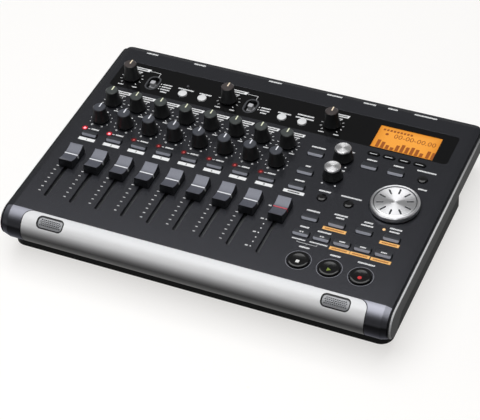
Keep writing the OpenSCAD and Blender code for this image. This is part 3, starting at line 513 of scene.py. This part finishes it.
# %% Rings round an axis
def axis_distance(tree, x, y):
    """Distance from an upright axis at x, y in millimetres."""
    dx = maths(tree, "SUBTRACT", coordinate(tree, "X"), x * MM)
    dy = maths(tree, "SUBTRACT", coordinate(tree, "Y"), y * MM)
    squares = maths(tree, "ADD", maths(tree, "MULTIPLY", dx, dx), maths(tree, "MULTIPLY", dy, dy))
    return maths(tree, "SQRT", squares)


def ring(tree, x, y, low, high):
    """1 where the distance from an upright axis lies between two radii, in millimetres."""
    return maths(tree, "COMPARE", axis_distance(tree, x, y), (low + high) / 2 * MM, (high - low) / 2 * MM)


print("ring masks ready")

# %% Data wheel
wheel_place = middle("data_wheel")
wheel_r = (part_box("data_wheel")[1].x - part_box("data_wheel")[0].x) / 2 / MM
wheel_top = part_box("data_wheel")[1].z / MM
wheel_silver = spun("wheel_silver", shade(248, 248, 250), 0.32, wheel_place.x, wheel_place.y, 0.85)
wheel_tree = wheel_silver.node_tree
slot_depth, slot_rim = 0.75, 1
groove_outer, groove_inner = 2.0, 2.6
sunk = between(wheel_tree, "Z", panel_top, wheel_top - slot_depth)
within = ring(wheel_tree, wheel_place.x, wheel_place.y, 0, wheel_r - slot_rim)
finger_slots = maths(wheel_tree, "MULTIPLY", sunk, within)
lay_over(wheel_silver, finger_slots, shade(62, 63, 68))
lay_over(wheel_silver, finger_slots, 0.0, "Metallic")
ring_groove = ring(wheel_tree, wheel_place.x, wheel_place.y, wheel_r - groove_inner, wheel_r - groove_outer)
lay_over(wheel_silver, ring_groove, shade(120, 121, 126))
dress(wheel_silver, "data_wheel")
print("wheel radius", round(wheel_r, 1))

# %% Equaliser knobs
disc_h = 1.5
for name in ("eq_high_knob", "eq_low_knob"):
    spot = middle(name)
    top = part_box(name)[1].z / MM
    eq_finish = spun(f"spun_{name}", shade(250, 250, 251), 0.28, spot.x, spot.y, 0.85)
    eq_tree = eq_finish.node_tree
    below = maths(eq_tree, "LESS_THAN", coordinate(eq_tree, "Z"), (top - disc_h) * MM)
    lay_over(eq_finish, below, shade(27, 28, 29))
    lay_over(eq_finish, below, 0.0, "Metallic")
    dress(eq_finish, name)
print("spun discs", disc_h, "mm high")

# %% [markdown]
# ## Keys
# The rectangular keys are satin grey with a painted highlight on the slope along the front, the oval
# and small round keys are black, and the four source keys are white. A slope is found by the way it
# faces, so one finish serves every key of a kind, however many there are. The tops are rounded in the
# finish.


# %% Key finishes
def sloped_key(name, colour, painted_slope_highlight):
    """A key whose front slope has a painted highlight, paler than its top."""
    material = finish(name, colour, 0.3, specular=0.5, grain=0.35, relief=0.04, soft_edge=0.3)
    tree = material.node_tree
    front = maths(tree, "LESS_THAN", coordinate(tree, "Y", "Normal"), -0.5)
    slope = maths(tree, "MULTIPLY", front, facing(tree, "Z", 0.5))
    # the paler front slope is a painted highlight
    lay_over(material, slope, painted_slope_highlight)
    return material


arm_grey = sloped_key("arm_grey", shade(46, 48, 53), shade(140, 142, 152))
key_grey = sloped_key("key_grey", shade(44, 46, 51), shade(160, 162, 172))
key_dark = finish("key_dark", shade(12, 12, 13), 0.18, specular=0.3, grain=0.6, relief=0.02, soft_edge=0.4)
round_black = finish("round_black", shade(12, 12, 13), 0.14, specular=0.6, grain=0.8, relief=0.01,
                     soft_edge=0.6)
key_white = finish("key_white", shade(228, 229, 230), 0.35, grain=0.4, relief=0.04, cloud=0.03)
key_gloss = finish("key_gloss", shade(12, 12, 13), 0.12, specular=0.5, grain=1.5, relief=0.01,
                   soft_edge=0.6)
lever_grey = finish("lever_grey", shade(186, 187, 190), 0.3, specular=0.8, grain=0.4, relief=0.03,
                    soft_edge=0.4)
transport_keys = ("stop_key", "play_key", "record_key")
dress(arm_grey, "arm_keys")
dress(key_grey, "panel_keys", "search_keys")
dress(key_dark, "function_keys")
dress(round_black, "round_keys")
dress(key_white, "source_keys")
dress(key_gloss, *transport_keys)
dress(lever_grey, "input_switch_a", "input_switch_b")

# %% [markdown]
# ## Rounded tops
# A moulded key is never quite flat: its top falls away a little towards the edge, and that is where it
# catches the light. So small a fall hardly changes the outline, so the finish bends the surface's own
# direction by a height, and the exact shape stays as CAD made it.


# %% Rounding helpers
def crown(material, drop):
    """Lets a flat top catch light as if it fell away by a height, given in metres."""
    tree = material.node_tree
    target = sockets(material)["Normal"]
    under = target.links[0].from_socket
    dome = put(tree, "ShaderNodeBump", {"Strength": 1, "Distance": 1, "Height": drop, "Normal": under})
    tree.links.new(dome.outputs[0], target)


def round_tops(material, spots, start, edge, slope):
    """Rounds discs at some places from one radius to the edge, where they have this slope."""
    tree = material.node_tree
    distance = axis_distance(tree, *spots[0])
    for spot in spots[1:]:
        distance = maths(tree, "MINIMUM", distance, axis_distance(tree, *spot))
    over = maths(tree, "MAXIMUM", maths(tree, "SUBTRACT", distance, start * MM), 0)
    bend = -slope / (2 * (edge - start) * MM)
    crown(material, maths(tree, "MULTIPLY", maths(tree, "MULTIPLY", over, over), bend))


def row_tops(material, rows, half, slope):
    """Rounds rows of keys across their depth, to this slope at their front and rear edge."""
    tree = material.node_tree
    total = 0
    for y in rows:
        off = maths(tree, "SUBTRACT", coordinate(tree, "Y"), y * MM)
        held = put(tree, "ShaderNodeClamp", {0: off, 1: -half * MM, 2: half * MM}).outputs[0]
        total = maths(tree, "MULTIPLY_ADD", held, held, total)
    crown(material, maths(tree, "MULTIPLY", total, -slope / (2 * half * MM)))


print("rounding ready")

# %% Rounded key tops
function_y, arm_y = middle("function_keys").y, middle("arm_keys").y
round_places = [(62.2, -10.7), (82.05, -10.7), (121.75, 30.2)]
source_places = [(x, middle("source_keys").y) for x in (-77.8, -61.8, 2.8, 18.8)]
transport_r = (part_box("stop_key")[1].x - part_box("stop_key")[0].x) / 2 / MM
key_rows = [arm_y, 9.9, 30.2, -32.5, -48.4]
transport_places = [middle(name)[:2] for name in transport_keys]
row_tops(arm_grey, [arm_y], half=2.2, slope=0.12)
row_tops(key_grey, key_rows, half=2.7, slope=0.12)
round_tops(round_black, round_places, start=1.2, edge=3.4, slope=0.6)
round_tops(key_white, source_places, start=0.0, edge=3.4, slope=0.4)
round_tops(key_gloss, transport_places, start=5.2, edge=7.4, slope=0.55)
print("large keys' radius", round(transport_r, 2))

# %% [markdown]
# ## Lamps
# Ten small lenses sit in the panel: eight record lamps, of which the first two are lit, an amber one
# beside the last key column and a dark one on the gloss strip. They are one node, so bands of
# coordinates colour them, and the same bands switch the glow of the lit ones on.

# %% Lamp lenses
lamp_red = finish("lamp_red", shade(205, 72, 72), 0.2, specular=0.5, grain=1, relief=0.01)
lamp_tree = lamp_red.node_tree
record_row = between(lamp_tree, "Y", -4, 4)
first_two = between(lamp_tree, "X", -140, -100)
lit = maths(lamp_tree, "MULTIPLY", record_row, first_two)
undo = between(lamp_tree, "X", 100, 125)
dark = between(lamp_tree, "Y", 60, 80)
undo_amber = shade(250, 205, 150)
lay_over(lamp_red, lit, shade(255, 130, 140))
lay_over(lamp_red, undo, undo_amber)
lay_over(lamp_red, dark, shade(70, 70, 74))
lit_glow, undo_glow = 2.0, 0.5
lamp_glow = maths(lamp_tree, "MAXIMUM", maths(lamp_tree, "MULTIPLY", lit, lit_glow),
                  maths(lamp_tree, "MULTIPLY", undo, undo_glow))
lamp_tree.links.new(lamp_glow, sockets(lamp_red)["Emission Strength"])
sockets(lamp_red)["Emission Color"].default_value = (1, 0.2, 0.24, 1)
lay_over(lamp_red, undo, undo_amber, "Emission Color")
dress(lamp_red, "indicator_leds")
print("lamps dressed")

# %% [markdown]
# ## Display
# Behind the window is an amber liquid-crystal cell, lit from its edges, so it is brightest in the
# middle and browner at the rim. The glass is the CAD node, with the light in its finish. What it
# shows is made of thin plates on the glass: a counter, a line of small marks, a dot and twelve bars.

# %% Display glass
glass_low, glass_high = (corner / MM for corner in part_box("display_module"))
frame_w = 3.1
lcd_left, lcd_right = glass_low.x + frame_w, glass_high.x - frame_w
lcd_front, lcd_top = glass_low.y + frame_w, glass_high.z
lcd_depth = 24.2
display_amber = finish("display_amber", shade(204, 134, 44), 0.15, grain=2, relief=0.0, cloud=0.04)
amber_tree = display_amber.node_tree
half_w, half_d = (lcd_right - lcd_left) / 2, lcd_depth / 2
across = maths(amber_tree, "SUBTRACT", coordinate(amber_tree, "X"), (lcd_left + half_w) * MM)
along = maths(amber_tree, "SUBTRACT", coordinate(amber_tree, "Y"), (lcd_front + half_d) * MM)
edge_x = maths(amber_tree, "DIVIDE", maths(amber_tree, "ABSOLUTE", across), half_w * MM)
edge_y = maths(amber_tree, "DIVIDE", maths(amber_tree, "ABSOLUTE", along), half_d * MM)
rim_fall = 5.0
to_rim = maths(amber_tree, "POWER", maths(amber_tree, "MAXIMUM", edge_x, edge_y), rim_fall)
middle_amber, rim_amber = (1, 0.44, 0.09, 1), (0.45, 0.11, 0.01, 1)
rim_shade = put(amber_tree, "ShaderNodeMix", {0: to_rim, 6: middle_amber, 7: rim_amber}, data_type="RGBA")
amber_tree.links.new(rim_shade.outputs[2], sockets(display_amber)["Emission Color"])
sockets(display_amber)["Emission Strength"].default_value = 0.4
dress(display_amber, "display_module")
print("glass", round(lcd_right - lcd_left, 1), "by", lcd_depth)


# %% Plain numerals
numeral_share, numeral_t = 0.7, 1.5


def digits(text, x, y, z, height, name, material):
    """Plain numerals as a thin plate, centred at x, y in millimetres."""
    curve = bpy.data.curves.new(name, "FONT")
    curve.body = text
    curve.align_x = "CENTER"
    curve.align_y = "CENTER"
    curve.extrude = 0.02
    curve.resolution_u = 2
    holder = bpy.data.objects.new(name + "_curve", curve)
    scene.collection.objects.link(holder)
    bpy.context.view_layer.update()
    plate = bmesh.new()
    flat = bpy.data.meshes.new_from_object(holder.evaluated_get(bpy.context.evaluated_depsgraph_get()))
    plate.from_mesh(flat)
    bpy.data.objects.remove(holder)
    bpy.data.curves.remove(curve)
    bpy.data.meshes.remove(flat)
    bmesh.ops.remove_doubles(plate, verts=plate.verts, dist=1e-5)
    size = height / numeral_share * MM
    place = Matrix.Translation(Vector((x, y, z)) * MM)
    bmesh.ops.transform(plate, verts=plate.verts,
                        matrix=place @ Matrix.Diagonal((size, size, numeral_t * MM, 1)))
    piece(name, plate, material)


print("numerals ready")

# %% Counter, marks and bars
lcd_brown = finish("lcd_brown", shade(122, 64, 18), 0.4, grain=1, relief=0.0, cloud=0.05)
sockets(lcd_brown)["Emission Color"].default_value = (0.3, 0.085, 0.012, 1)
sockets(lcd_brown)["Emission Strength"].default_value = 0.55
ink_rise = 0.05
digits("00-00-00.00", lcd_left + 28.6, lcd_front + 15.6, lcd_top + ink_rise, 4.6, "counter", lcd_brown)
level_bars = [8.2, 6.8, 4.3, 3.0, 6.4, 8.2, 6.8, 7.8, 6.8, 4.0, 7.8, 7.3]
bar_first, bar_pitch, bar_w, bar_foot = 4.4, 3.68, 2.5, 0.8
last_pair, pair_gap = 10, 1.0
bars = bmesh.new()
for i, level in enumerate(level_bars):
    gap = pair_gap if i >= last_pair else 0
    bar(bars, lcd_left + bar_first + bar_pitch * i + gap, lcd_front + bar_foot + level / 2, lcd_top,
        bar_w, level, ink_rise)
mark_first, mark_pitch, mark_row = 4, 2.55, 20.6
for i in range(9):
    bar(bars, lcd_left + mark_first + mark_pitch * i, lcd_front + mark_row, lcd_top, 1.7, 2.0, ink_rise)
dot_r = 1.3
dot_place = Vector((lcd_left + 7.2, lcd_front + 16.2, lcd_top + ink_rise / 2)) * MM
bmesh.ops.create_cone(bars, cap_ends=True, segments=8, radius1=dot_r * MM, radius2=dot_r * MM,
                      depth=ink_rise * MM, matrix=Matrix.Translation(dot_place))
piece("level_bars", bars, lcd_brown)
print("display bars", len(level_bars))

# %% [markdown]
# ## Printed marks
# The panel is crowded with small print. Words are left as rows of tiny slanted blocks, which read as
# print from where the camera stands and say nothing. All marks of one ink are one thin mesh on the
# panel, because they never move apart. Places are listed as they were measured: left, right and
# distance from the front, in millimetres.

# %% Inks
ink_white = finish("ink_white", shade(238, 239, 240), 0.45, grain=0.3, relief=0.0, cloud=0.04)
ink_dark = finish("ink_dark", shade(40, 40, 42), 0.5, grain=0.3, relief=0.0, cloud=0.04)
ink_orange = finish("ink_orange", shade(248, 192, 116), 0.45, grain=0.3, relief=0.0, cloud=0.05)
ink_brown = finish("ink_brown", shade(176, 108, 46), 0.45, grain=0.3, relief=0.0, cloud=0.05)
ink_z = panel_top
ink_t = 0.05
y_shift = -109.5
print("inks", ink_white.name, ink_dark.name, ink_orange.name, ink_brown.name)

# %% Words, boxes and scale marks
letter_pattern = (1.25, 0.95, 1.25, 1.1, 0.8, 1.25, 1.0)
letter_gap, letter_lean, least_letter, low_share = 0.22, 0.22, 0.5, 0.86


def word(mesh, left, right, v, height=1.5, z=ink_z):
    """A row of small slanted blocks between two sides, standing in for a word."""
    x, k = left, 0
    while x < right - least_letter:
        width = min(letter_pattern[k % len(letter_pattern)], right - x)
        tall = height if k % 3 else height * low_share
        bar(mesh, x + width / 2, v + y_shift, z, width - letter_gap, tall, ink_t, lean=letter_lean)
        x += width
        k += 1


def plate(mesh, left, right, v, height=3.0, z=ink_z, lean=0.0):
    """A solid printed box."""
    bar(mesh, (left + right) / 2, v + y_shift, z, right - left, height, ink_t, lean=lean)


def scale_marks(mesh, x, v, radius, spread, count, long, wide, z=ink_z):
    """Short marks round a knob, spread evenly to both sides of the rear."""
    for k in range(count):
        turn = math.radians(-spread + 2 * spread * k / (count - 1))
        mark_x, mark_y = x + radius * math.sin(turn), v + y_shift + radius * math.cos(turn)
        bar(mesh, mark_x, mark_y, z, wide, long, ink_t, turn=-turn)


print("letters from", min(letter_pattern), "to", max(letter_pattern), "mm wide")

# %% Words on the panel
white = bmesh.new()
rear_row = 204.3
words = [(-125, -115, rear_row), (-84.6, -74.5, rear_row), (-22.6, -12, rear_row), (24.4, 36.8, rear_row),
         (53.4, 63.4, rear_row), (72.5, 80.3, rear_row), (93, 110.8, rear_row),
         (35.6, 46.4, 146.7), (39.2, 43.2, 125.8), (37.5, 44.9, 109.9),
         (77.7, 85.5, 147), (97.6, 105.4, 147.1), (114.8, 129.1, 148.1), (121.6, 128.4, 130.1),
         (57.5, 66.5, 105.6), (74, 89.6, 105.6), (56.9, 66.7, 84.3), (76.4, 86.6, 86.7), (78.6, 84.7, 83.9),
         (98.4, 104.8, 86.4), (97.1, 106.4, 83.5), (116.8, 125.8, 86.7), (117.5, 124.9, 83.7),
         (58.6, 65.4, 67.8), (71.8, 81.7, 67.3), (65.4, 73.5, 49.4), (88, 95.9, 49), (107.8, 120.1, 49.1)]
for left, right, v in words:
    word(white, left, right, v)
word(white, 57.6, 67.5, 55.6, 1.2)
word(white, 70.4, 83.5, 55.8, 1.2)
for left, right, v, deep in ((62.1, 76.6, 53.0, 0.3), (61.95, 62.25, 53.6, 1.2), (76.45, 76.75, 53.6, 1.2),
                             (69.2, 69.5, 52.4, 1.2)):
    plate(white, left, right, v, deep)
print("words", len(words))

# %% Channel marks
channel_places = [middle(f"pan_knob_{i}").x for i in channels]
level_knobs = {name: middle(name).x for name in ("input_knob_a", "input_knob_b", "phones_knob")}
slot_places = [middle(f"channel_fader_{i}").x for i in channels]
number_bars = bmesh.new()
box_row, effect_row, pan_row, key_row, number_row = 154.7, 142, 121.5, 109.7, 98.0
box_h, box_lean = 3.0, 0.25
small_print, tiny_print = 1.3, 1.1
for x in channel_places:
    plate(number_bars, x - 8, x + 8, box_row, box_h, lean=box_lean)
    word(white, x - 2, x + 6, 151.3, small_print)
    scale_marks(white, x, effect_row, 8.2, spread=135, count=11, long=1.5, wide=0.5)
    word(white, x - 8.2, x - 4.4, 134.1, tiny_print)
    word(white, x + 4.2, x + 8.2, 134.1, tiny_print)
    scale_marks(white, x, pan_row, 8.1, spread=150, count=11, long=0.7, wide=0.7)
    scale_marks(white, x, pan_row, 8.1, spread=150, count=2, long=1.3, wide=1.3)
    word(white, x - 1.8, x + 1.8, 130.6, tiny_print)
    plate(white, x - 4.6, x - 2.8, 109.4, 0.5)
    word(white, x - 2.0, x + 4.2, key_row, 1.4)
    plate(number_bars, x - 6.5, x + 6.5, number_row, box_h)
plate(number_bars, 33.7, 49.4, 97.5, box_h)
print("channels marked", len(channel_places))

# %% Fader scales and equaliser marks
fader_ticks = [38.1 + 4.6 * k for k in range(10)]
for x in slot_places:
    for tick in fader_ticks:
        plate(white, x - 7.5, x - 5.7, tick, 0.55)
master_place = middle("master_fader").x
for k, tick in enumerate(fader_ticks):
    plate(white, master_place - 7.0, master_place - 6.1, tick, 0.9)
    if k % 3 == 0:
        word(white, master_place - 10.6, master_place - 8.2, tick, 1.2)
for name in ("eq_high_knob", "eq_low_knob"):
    spot = middle(name)
    scale_marks(white, spot.x, spot.y - y_shift, 9.8, spread=150, count=2, long=1.2, wide=1.2)
word(white, 64.3, 67.2, 150.1, small_print)
word(white, 64.3, 67.4, 129.6, small_print)
print("fader ticks", len(fader_ticks))

# %% Marks on the gloss strip
strip_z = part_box("control_strip")[1].z / MM
strip_box_row, level_row = 185.2, 173
for name, x in level_knobs.items():
    wide = 8.7 if name == "phones_knob" else 10
    plate(number_bars, x - wide, x + wide, strip_box_row, box_h, strip_z, box_lean)
    word(white, x + 1.5, x + 5.2, 181.5, small_print, strip_z)
    scale_marks(white, x, level_row, 8.2, spread=135, count=11, long=1.5, wide=0.5, z=strip_z)
    word(white, x - 7.5, x - 2.8, 163.9, tiny_print, strip_z)
    word(white, x + 4.4, x + 8.4, 163.9, tiny_print, strip_z)
for x in (level_knobs["input_knob_a"], level_knobs["input_knob_b"]):
    plate(white, x + 10.4, x + 19.1, 184.9, 0.35, strip_z)
    plate(white, x + 18.75, x + 19.1, 182.5, 5.0, strip_z)
switch_a, switch_b = middle("input_switch_a").x, middle("input_switch_b").x
for x, bullets, lines in ((switch_a, 3, 4), (switch_b, 2, 3)):
    for k in range(lines):
        v = 174 - 2.75 * k
        left, right = (x + 9.4, x + 14.5) if k == lines - 1 else (x + 8.2, x + 16)
        word(white, left, right, v, small_print, strip_z)
    for k in range(bullets):
        plate(white, x + 6.4, x + 7.3, 173.7 - 2.7 * k, 0.9, strip_z)
for left, right, v in ((-83.7, -71, 174), (-66, -56.2, 173.6), (-2.1, 8.3, 173.4), (12.4, 25.7, 176.3),
                       (12, 26.7, 173.2)):
    word(white, left, right, v, 1.4, strip_z)
print("strip marked at z", round(strip_z, 1))


# %% Ring bands
weld = 1e-6


def ring_outline(mesh, x, y, z, length, width, line, segments=12):
    """A flat band that follows a slot with round ends, long along Y."""
    centre = Vector((x, y, z)) * MM
    reach = Vector((0, (length - width) / 2, 0)) * MM
    across = [Vector((radius, 0, 0)) * MM for radius in (width / 2, width / 2 + line)]
    ends = [mesh.verts.new(centre + reach + offset) for offset in across]
    section = [*ends, mesh.edges.new(ends)]
    for shift in (reach, -reach):
        bend = bmesh.ops.spin(mesh, geom=section, cent=centre + shift, axis=(0, 0, 1), angle=math.pi,
                              steps=segments)
        last = [part for part in bend["geom_last"] if isinstance(part, bmesh.types.BMEdge)]
        side = bmesh.ops.extrude_edge_only(mesh, edges=last)["geom"]
        ends = [part for part in side if isinstance(part, bmesh.types.BMVert)]
        bmesh.ops.translate(mesh, verts=ends, vec=-2 * shift)
        section = [*ends, *(edge for edge in ends[0].link_edges if edge.other_vert(ends[0]) in ends)]
    bmesh.ops.remove_doubles(mesh, verts=mesh.verts, dist=weld)


print("ring bands ready")

# %% Switch rings, painted highlight rings round the large keys, and lamp halos
switch_rings = bmesh.new()
for name in ("input_switch_a", "input_switch_b"):
    spot = middle(name)
    ring_outline(switch_rings, spot.x, spot.y, strip_z + ink_t, length=13.6, width=7.8, line=1.3)
ring_grey = finish("ring_grey", shade(72, 73, 76), 0.3, grain=0.4, relief=0.02)
piece("switch_rings", switch_rings, ring_grey)
# the pale ring round each large key is a painted highlight on the edge of its well
well_highlight_rings = bmesh.new()
well_d, well_line = 2 * transport_r + 1.2, 0.4
for name in transport_keys:
    spot = middle(name)
    ring_outline(well_highlight_rings, spot.x, spot.y, ink_z + ink_t, well_d, well_d, well_line, segments=24)
well_edge_highlight = finish("well_edge_highlight", shade(128, 129, 136), 0.3, grain=0.4, relief=0.02)
piece("key_well_highlight_rings", well_highlight_rings, well_edge_highlight)
lamp_shift, lamp_y, lens_d, glow_w = -7.2, -0.2, 2.3, 1.0
# the halos are painted glow on the panel round each lamp, brighter round the two lit ones
for group, places, colour, strength in (("lit", channel_places[:2], shade(150, 20, 34), 0.5),
                                        ("dim", channel_places[2:], shade(84, 18, 22), 0.1)):
    halo = bmesh.new()
    for x in places:
        ring_outline(halo, x + lamp_shift, lamp_y, ink_z + ink_t, lens_d, lens_d, glow_w)
    halo_red = finish(f"halo_{group}", colour, 0.3, grain=1, relief=0.0)
    sockets(halo_red)["Emission Color"].default_value = colour
    sockets(halo_red)["Emission Strength"].default_value = strength
    piece(f"lamp_halo_{group}", halo, halo_red)
print("rings and halos made")

# %% Orange boxes, numbers and the finished prints
orange = bmesh.new()
orange_boxes = [(73.6, 90.6, 71.8), (114.75, 128.8, 71.9), (85, 99.5, 55.2), (99.8, 113.9, 55.3),
                (114.6, 128.9, 55.1)]
dark_print = bmesh.new()
brown_print = bmesh.new()
for left, right, v in orange_boxes:
    plate(orange, left, right, v, box_h)
    word(brown_print, left + 1.6, right - 1.6, v, small_print, ink_z + ink_t)
for x in channel_places:
    word(dark_print, x - 6.4, x + 6.6, box_row, small_print, ink_z + ink_t)
for x in level_knobs.values():
    word(dark_print, x - 7.5, x + 7.5, strip_box_row, small_print, strip_z + ink_t)
word(dark_print, 37, 46, 97.5, small_print, ink_z + ink_t)
piece("white_print", white, ink_white)
piece("white_boxes", number_bars, ink_white)
piece("orange_boxes", orange, ink_orange)
piece("brown_print", brown_print, ink_brown)
piece("dark_print", dark_print, ink_dark)
number_z, number_h = ink_z + ink_t + 0.03, 2.0
for i, x in zip(channels, channel_places):
    digits(str(i), x, number_row + y_shift, number_z, number_h, f"channel_number_{i}", ink_dark)
print("prints made")

# %% [markdown]
# ## Symbols on the keys
# The three large keys carry a square, a triangle and a disc, printed towards the front of the dish so
# that a finger doesn't hide them. The small keys have pale dashes of painted reflection. They ride on
# their key, so a pressed key takes its symbol down with it.


# %% Transport symbols
def dish_height(name, offset):
    """Height of a dished key's top at some distance from its middle."""
    rim_w, depth = 0.6, 0.5
    dish_r = transport_r - rim_w
    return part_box(name)[1].z / MM - depth * (1 - (offset / dish_r) ** 2)


symbol_back, symbol_rise, symbol_t, symbol_edge = 1.8, 0.06, 0.16, 0.05
symbol_sides = {"stop_key": (4, 1.75, shade(232, 232, 230), math.pi / 4),
                "play_key": (3, 1.9, shade(122, 140, 52), -math.pi / 2),
                "record_key": (20, 1.45, shade(206, 48, 52), 0.0)}
for name, (sides, radius, colour, turn) in symbol_sides.items():
    symbol = bmesh.new()
    spot = middle(name)
    place = Vector((spot.x, spot.y - symbol_back, dish_height(name, symbol_back) + symbol_rise)) * MM
    bmesh.ops.create_cone(symbol, cap_ends=True, segments=sides, radius1=radius * MM, radius2=radius * MM,
                          depth=symbol_t * MM,
                          matrix=Matrix.Translation(place) @ Matrix.Rotation(turn, 4, "Z"))
    bmesh.ops.bevel(symbol, geom=symbol.edges[:], offset=symbol_edge * MM, segments=1, profile=0.5,
                    affect="EDGES", material=-1)
    symbol_ink = finish(f"symbol_{name}", colour, 0.4, grain=0.4, relief=0.02)
    piece(f"{name}_symbol", symbol, symbol_ink, name)
print("symbols", list(symbol_sides))

# %% Painted reflection dashes on the small keys
reflection_dash_grey = finish("reflection_dash_grey", shade(226, 227, 230), 0.35, grain=0.4, relief=0.02)
# the pale dashes on the oval keys are a painted reflection
reflection_dashes = bmesh.new()
low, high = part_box("function_keys")
dash_first, dash_pitch, dash_back = 5.0, 11.5, 0.8
for k in range(4):
    dash_x = low.x / MM + dash_first + dash_pitch * k
    bar(reflection_dashes, dash_x, function_y - dash_back, high.z / MM, 5.6, 0.5, ink_t)
piece("function_key_reflections", reflection_dashes, reflection_dash_grey, "function_keys")
search_low, search_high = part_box("search_keys")
marks = bmesh.new()
search_first, search_pitch, arrow_r = 6.35, 14.9, 0.95
for k in range(5):
    x = search_low.x / MM + search_first + search_pitch * k
    y = middle("search_keys").y + 0.3
    if k < 2:
        turn = math.pi / 2 if k == 0 else -math.pi / 2
        for side in (-0.8, 0.9):
            place = Vector((x + side, y, search_high.z / MM + ink_t / 2)) * MM
            bmesh.ops.create_cone(marks, cap_ends=True, segments=3,
                                  radius1=arrow_r * MM, radius2=arrow_r * MM, depth=ink_t * MM,
                                  matrix=Matrix.Translation(place) @ Matrix.Rotation(turn, 4, "Z"))
    else:
        word(marks, x - 2.2, x + 2.2, y - y_shift, 1.2, search_high.z / MM)
piece("search_marks", marks, ink_white, "search_keys")
print("key marks made")

# %% [markdown]
# ## Studio
# The photograph has a white sweep under one broad light overhead. Its far edge slides over the panel's
# front right as a faint sheen, and a sky that is darker in front keeps upright faces dark. The floor is
# grey in fact, and only for the camera and for reflections lighter, so it reads as white and still holds
# the shadow.

# %% Floor
sweep = bmesh.new()
bmesh.ops.create_grid(sweep, x_segments=1, y_segments=1, size=12)
sweep_mesh = bpy.data.meshes.new("floor")
sweep.to_mesh(sweep_mesh)
sweep.free()
floor = bpy.data.objects.new("floor", sweep_mesh)
scene.collection.objects.link(floor)
floor_grey, bounce_grey, floor_glow = (0.35, 0.35, 0.35, 1), (0.12, 0.12, 0.12, 1), 0.66
floor_white = finish("floor_white", floor_grey, 0.3, specular=0.4, grain=3, relief=0.0, cloud=0.01)
floor_tree = floor_white.node_tree
rays = put(floor_tree, "ShaderNodeLightPath").outputs
lay_over(floor_white, rays["Is Diffuse Ray"], bounce_grey)
mirrored = maths(floor_tree, "MAXIMUM", rays["Is Glossy Ray"], rays["Is Transmission Ray"])
seen = maths(floor_tree, "MAXIMUM", rays["Is Camera Ray"], mirrored)
sockets(floor_white)["Emission Color"].default_value = (1, 0.985, 0.965, 1)
glow = maths(floor_tree, "MULTIPLY", seen, floor_glow)
floor_tree.links.new(glow, sockets(floor_white)["Emission Strength"])
sweep_mesh.materials.append(floor_white)
print("floor ready")

# %% Lights
overhead_place, overhead_aim = Vector((-0.15, -0.05, 1.08)), Vector((-0.15, -0.06, 0.03))
overhead = bpy.data.lights.new("overhead", "AREA")
overhead.shape = "RECTANGLE"
overhead.size = 1.3
overhead.size_y = 1.4
overhead.energy = 15
overhead_lamp = bpy.data.objects.new("overhead", overhead)
overhead_lamp.location = overhead_place
overhead_lamp.rotation_euler = (overhead_aim - overhead_place).to_track_quat("-Z", "Y").to_euler()
scene.collection.objects.link(overhead_lamp)
world = bpy.data.worlds.new("studio")
world.use_nodes = True
sky = world.node_tree.nodes["Background"]
sky.inputs["Color"].default_value = (1, 1, 1, 1)
sky_front, sky_rear = 0.03, 0.2
to_rear = coordinate(world.node_tree, "Y", "Generated")
sky_level = ramp(world.node_tree, to_rear, -0.4, 0.6, sky_front, sky_rear)
world.node_tree.links.new(sky_level, sky.inputs["Strength"])
scene.world = world
scene.view_settings.view_transform = "Standard"
